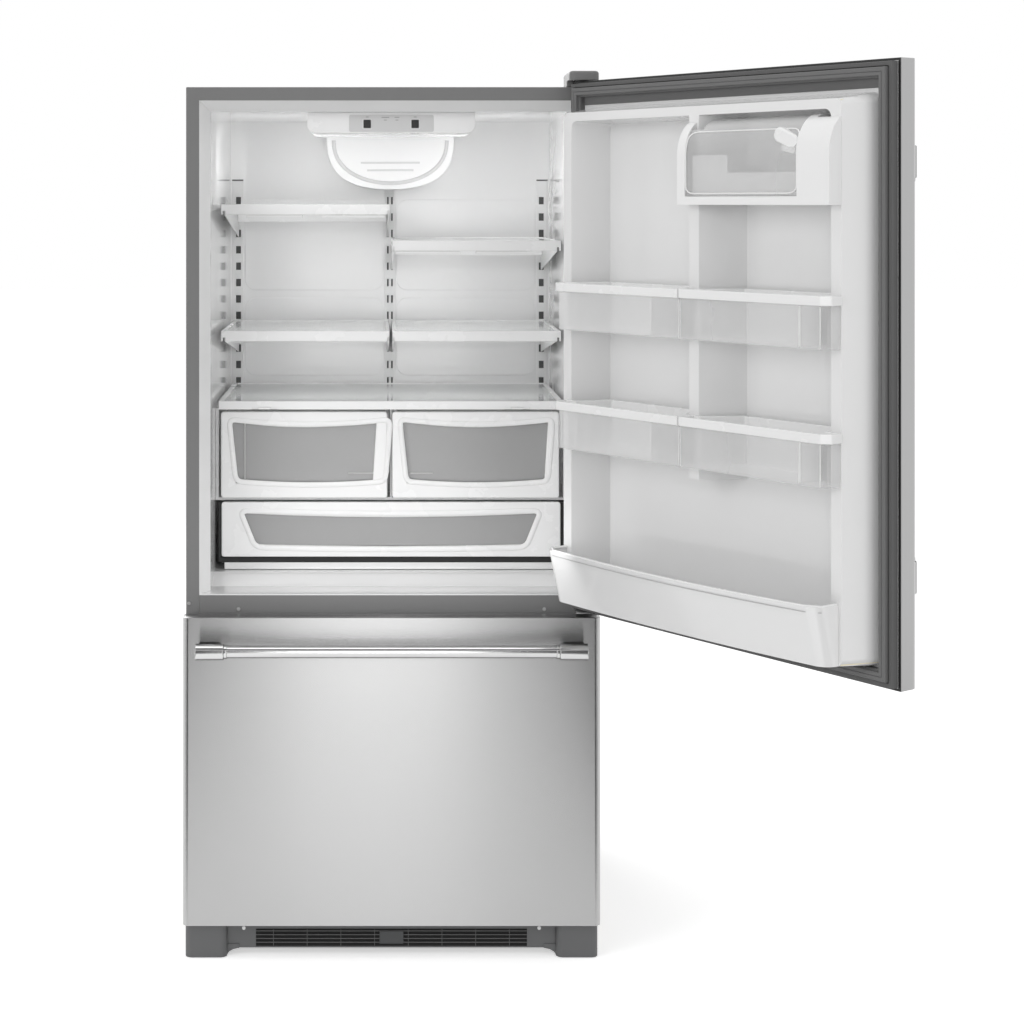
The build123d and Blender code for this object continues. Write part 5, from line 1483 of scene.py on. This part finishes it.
@dataclass
class Studio:
    """The floor, the lamps, the background and the camera, in metres."""

    floor_colour: Colour = (0.86, 0.86, 0.86)
    floor_lift: float = 0.5
    flag_colour: Colour = (0.05, 0.05, 0.05)
    ambient: float = 0.6
    lens: float = 70.17
    shift: Span = (0.1292, -0.3030)
    viewpoint: Triple = (-0.0237, -4.4088, 1.5155)
    lamps: Tuple[Tuple[str, Triple, Triple, Span, float, bool], ...] = (
        ("key", (-3.0, -3.2, 2.6), (0.1, 0.0, 0.9), (1.8, 1.8), 39.0, False),
        ("fill", (2.8, -3.6, 1.8), (0.1, 0.0, 0.9), (1.4, 2.2), 17.0, False),
        ("top", (0.0, -1.2, 4.2), (0.0, -0.2, 0.6), (3.0, 2.0), 18.0, True),
        ("band", (-0.02, -4.95, 1.3), (0.0, 0.0, 0.7), (0.80, 2.4), 14.0, True),
        ("rear", (-1.4, 3.4, 2.8), (0.0, 0.0, 0.9), (2.0, 2.0), 40.0, True),
        ("bay_top_left", (-0.23, -0.20, 1.60), (-0.24, 0.25, 1.60), (0.20, 0.06), 0.38, False),
        ("bay_top_right", (0.23, -0.20, 1.60), (0.24, 0.25, 1.60), (0.20, 0.06), 0.40, False),
        ("bay_top", (0.0, -0.22, 1.56), (0.0, 0.25, 1.40), (0.60, 0.05), 0.12, False),
        ("bay_left", (-0.18, -0.17, 1.345), (-0.18, 0.25, 1.33), (0.32, 0.05), 0.17, False),
        ("bay_right", (0.18, -0.17, 1.345), (0.18, 0.25, 1.33), (0.32, 0.05), 0.22, False),
        ("bay_low", (0.0, -0.17, 1.185), (0.0, 0.25, 1.16), (0.66, 0.05), 0.47, False),
        ("sill", (0.0, -0.60, 0.85), (0.0, -0.26, 0.73), (0.6, 0.08), 0.5, False),
    )
    flags: Tuple[Tuple[str, Triple, Span, bool], ...] = (
        ("flag_left", (-2.05, -5.0, 1.6), (3.0, 4.4), True),
        ("flag_right", (1.9, -5.0, 1.6), (3.0, 4.4), True),
        ("flag_floor_left", (-1.5, -2.6, 0.02), (1.7, 3.6), False),
        ("flag_floor_right", (1.42, -2.6, 0.02), (1.7, 3.6), False),
        ("flag_top", (0.0, -2.6, 3.6), (4.6, 1.8), False),
    )

    def build(self) -> None:
        """Builds the whole studio."""
        self.floor()
        self.background()
        for row in self.lamps:
            self.lamp(*row)
        for row in self.flags:
            self.flag(*row)
        self.camera()

    @staticmethod
    def card(name: str, place: Triple, size: Span, upright: bool = False) -> bpy.types.NodeTree:
        """A flat card of the studio, with a material of its own.

        Args:
            name: its name.
            place: its centre.
            size: its width and height.
            upright: whether it stands across the view or lies flat.

        Returns:
            The nodes of its material.
        """
        Workbench.clear()
        turn = (math.pi / 2 if upright else 0.0, 0.0, 0.0)
        bpy.ops.mesh.primitive_plane_add(size=1.0, location=place, rotation=turn)
        piece = bpy.context.active_object
        piece.scale = (*size, 1.0)
        Workbench.settle(piece, name)
        material = bpy.data.materials.new(name)
        material.use_nodes = True
        piece.data.materials.append(material)
        return material.node_tree

    def floor(self) -> None:
        """A plain pale floor that keeps the shadow of the refrigerator."""
        tree = self.card("studio_floor", (0.0, 0.0, 0.0), (60.0, 60.0))
        shader = tree.nodes["Principled BSDF"]
        shader.inputs["Base Color"].default_value = (*self.floor_colour, 1.0)
        shader.inputs["Roughness"].default_value = 0.8
        shader.inputs["Specular IOR Level"].default_value = 0.0
        lift = maths(tree.nodes, "MULTIPLY", self.floor_lift)
        tree.links.new(self.seen_rays(tree), lift.inputs[0])
        tree.links.new(lift.outputs[0], shader.inputs["Emission Strength"])
        shader.inputs["Emission Color"].default_value = (1.0, 1.0, 1.0, 1.0)

    def flag(self, name: str, place: Triple, size: Span, upright: bool) -> None:
        """A dark card that only reflections see.

        Args:
            name: its name.
            place: its centre.
            size: its width and height.
            upright: whether it stands across the view or lies flat.
        """
        tree = self.card(name, place, size, upright)
        tree.nodes["Principled BSDF"].inputs["Base Color"].default_value = (*self.flag_colour, 1.0)
        for rays in ("camera", "diffuse", "transmission", "shadow"):
            setattr(bpy.context.active_object, f"visible_{rays}", False)

    @staticmethod
    def seen_rays(tree: bpy.types.NodeTree) -> bpy.types.NodeSocket:
        """One for the rays that the camera, gloss and glass see, and nought for the others.

        Args:
            tree: the tree that it is needed in.

        Returns:
            The socket with the result.
        """
        seen = tree.nodes.new("ShaderNodeLightPath").outputs
        first, second = maths(tree.nodes, "MAXIMUM"), maths(tree.nodes, "MAXIMUM")
        tree.links.new(seen["Is Camera Ray"], first.inputs[0])
        tree.links.new(seen["Is Glossy Ray"], first.inputs[1])
        tree.links.new(first.outputs[0], second.inputs[0])
        tree.links.new(seen["Is Transmission Ray"], second.inputs[1])
        return second.outputs[0]

    def background(self) -> None:
        """A white background that lights the object only softly."""
        world = bpy.data.worlds.new("studio")
        bpy.context.scene.world = world
        world.use_nodes = True
        tree = world.node_tree
        sky = tree.nodes["Background"]
        sky.inputs["Color"].default_value = (1.0, 1.0, 1.0, 1.0)
        strength = ranged(tree, self.seen_rays(tree), self.ambient, 1.0)
        tree.links.new(strength, sky.inputs["Strength"])

    @staticmethod
    def lamp(name: str, place: Triple, target: Triple, size: Span, power: float,
             glossy: bool) -> None:
        """Adds one soft lamp.

        Args:
            name: its name.
            place: where it hangs.
            target: what it looks at.
            size: its width and height.
            power: its power in watts.
            glossy: whether reflections show it.
        """
        light = bpy.data.lights.new(name, "AREA")
        light.shape = "RECTANGLE"
        light.size, light.size_y = size
        light.energy = power
        lamp = bpy.data.objects.new(name, light)
        lamp.location = place
        lamp.rotation_euler = (Vector(target) - Vector(place)).to_track_quat("-Z", "Y").to_euler()
        lamp.visible_camera = False
        lamp.visible_glossy = glossy
        bpy.context.scene.collection.objects.link(lamp)

    def camera(self) -> None:
        """The camera at the photograph's place, level and shifted as its lens was."""
        data = bpy.data.cameras.new("camera")
        data.lens = self.lens
        data.shift_x, data.shift_y = self.shift
        camera = bpy.data.objects.new("camera", data)
        camera.location = self.viewpoint
        camera.rotation_euler = (math.pi / 2, 0.0, 0.0)
        bpy.context.scene.collection.objects.link(camera)
        bpy.context.scene.camera = camera


def main() -> None:
    """Loads the frame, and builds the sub-assemblies and the studio."""
    logging.basicConfig(level=logging.INFO, format="%(name)s %(message)s")
    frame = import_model()
    palette = Palette()
    slots = {part["node"]: part["material_slot"] for part in frame["record"]["subparts"]}
    for node, slot in slots.items():
        palette.wear(frame["nodes"][node], slot)
    bench = Workbench(palette, frame["nodes"], slots)
    assemblies = (
        Cabinet(bench), FreshFood(bench), Drawers(bench), Door(bench), DoorBins(bench),
        Dairy(bench), Freezer(bench),
        BarHandle(bench, "freezer_handle", "freezer_drawer", (0.0, -474.6, 628.0), "X",
                  "polished_steel"),
        BarHandle(bench, "door_handle", "fridge_door", (-352.5, -474.6, 1225.7), "Z",
                  "door_polished", turned=True),
        Studio(),
    )
    for assembly in assemblies:
        assembly.build()
        LOG.info("%s built", type(assembly).__name__)
    bpy.context.scene.view_settings.view_transform = "Standard"


if __name__ == "__main__":
    main()
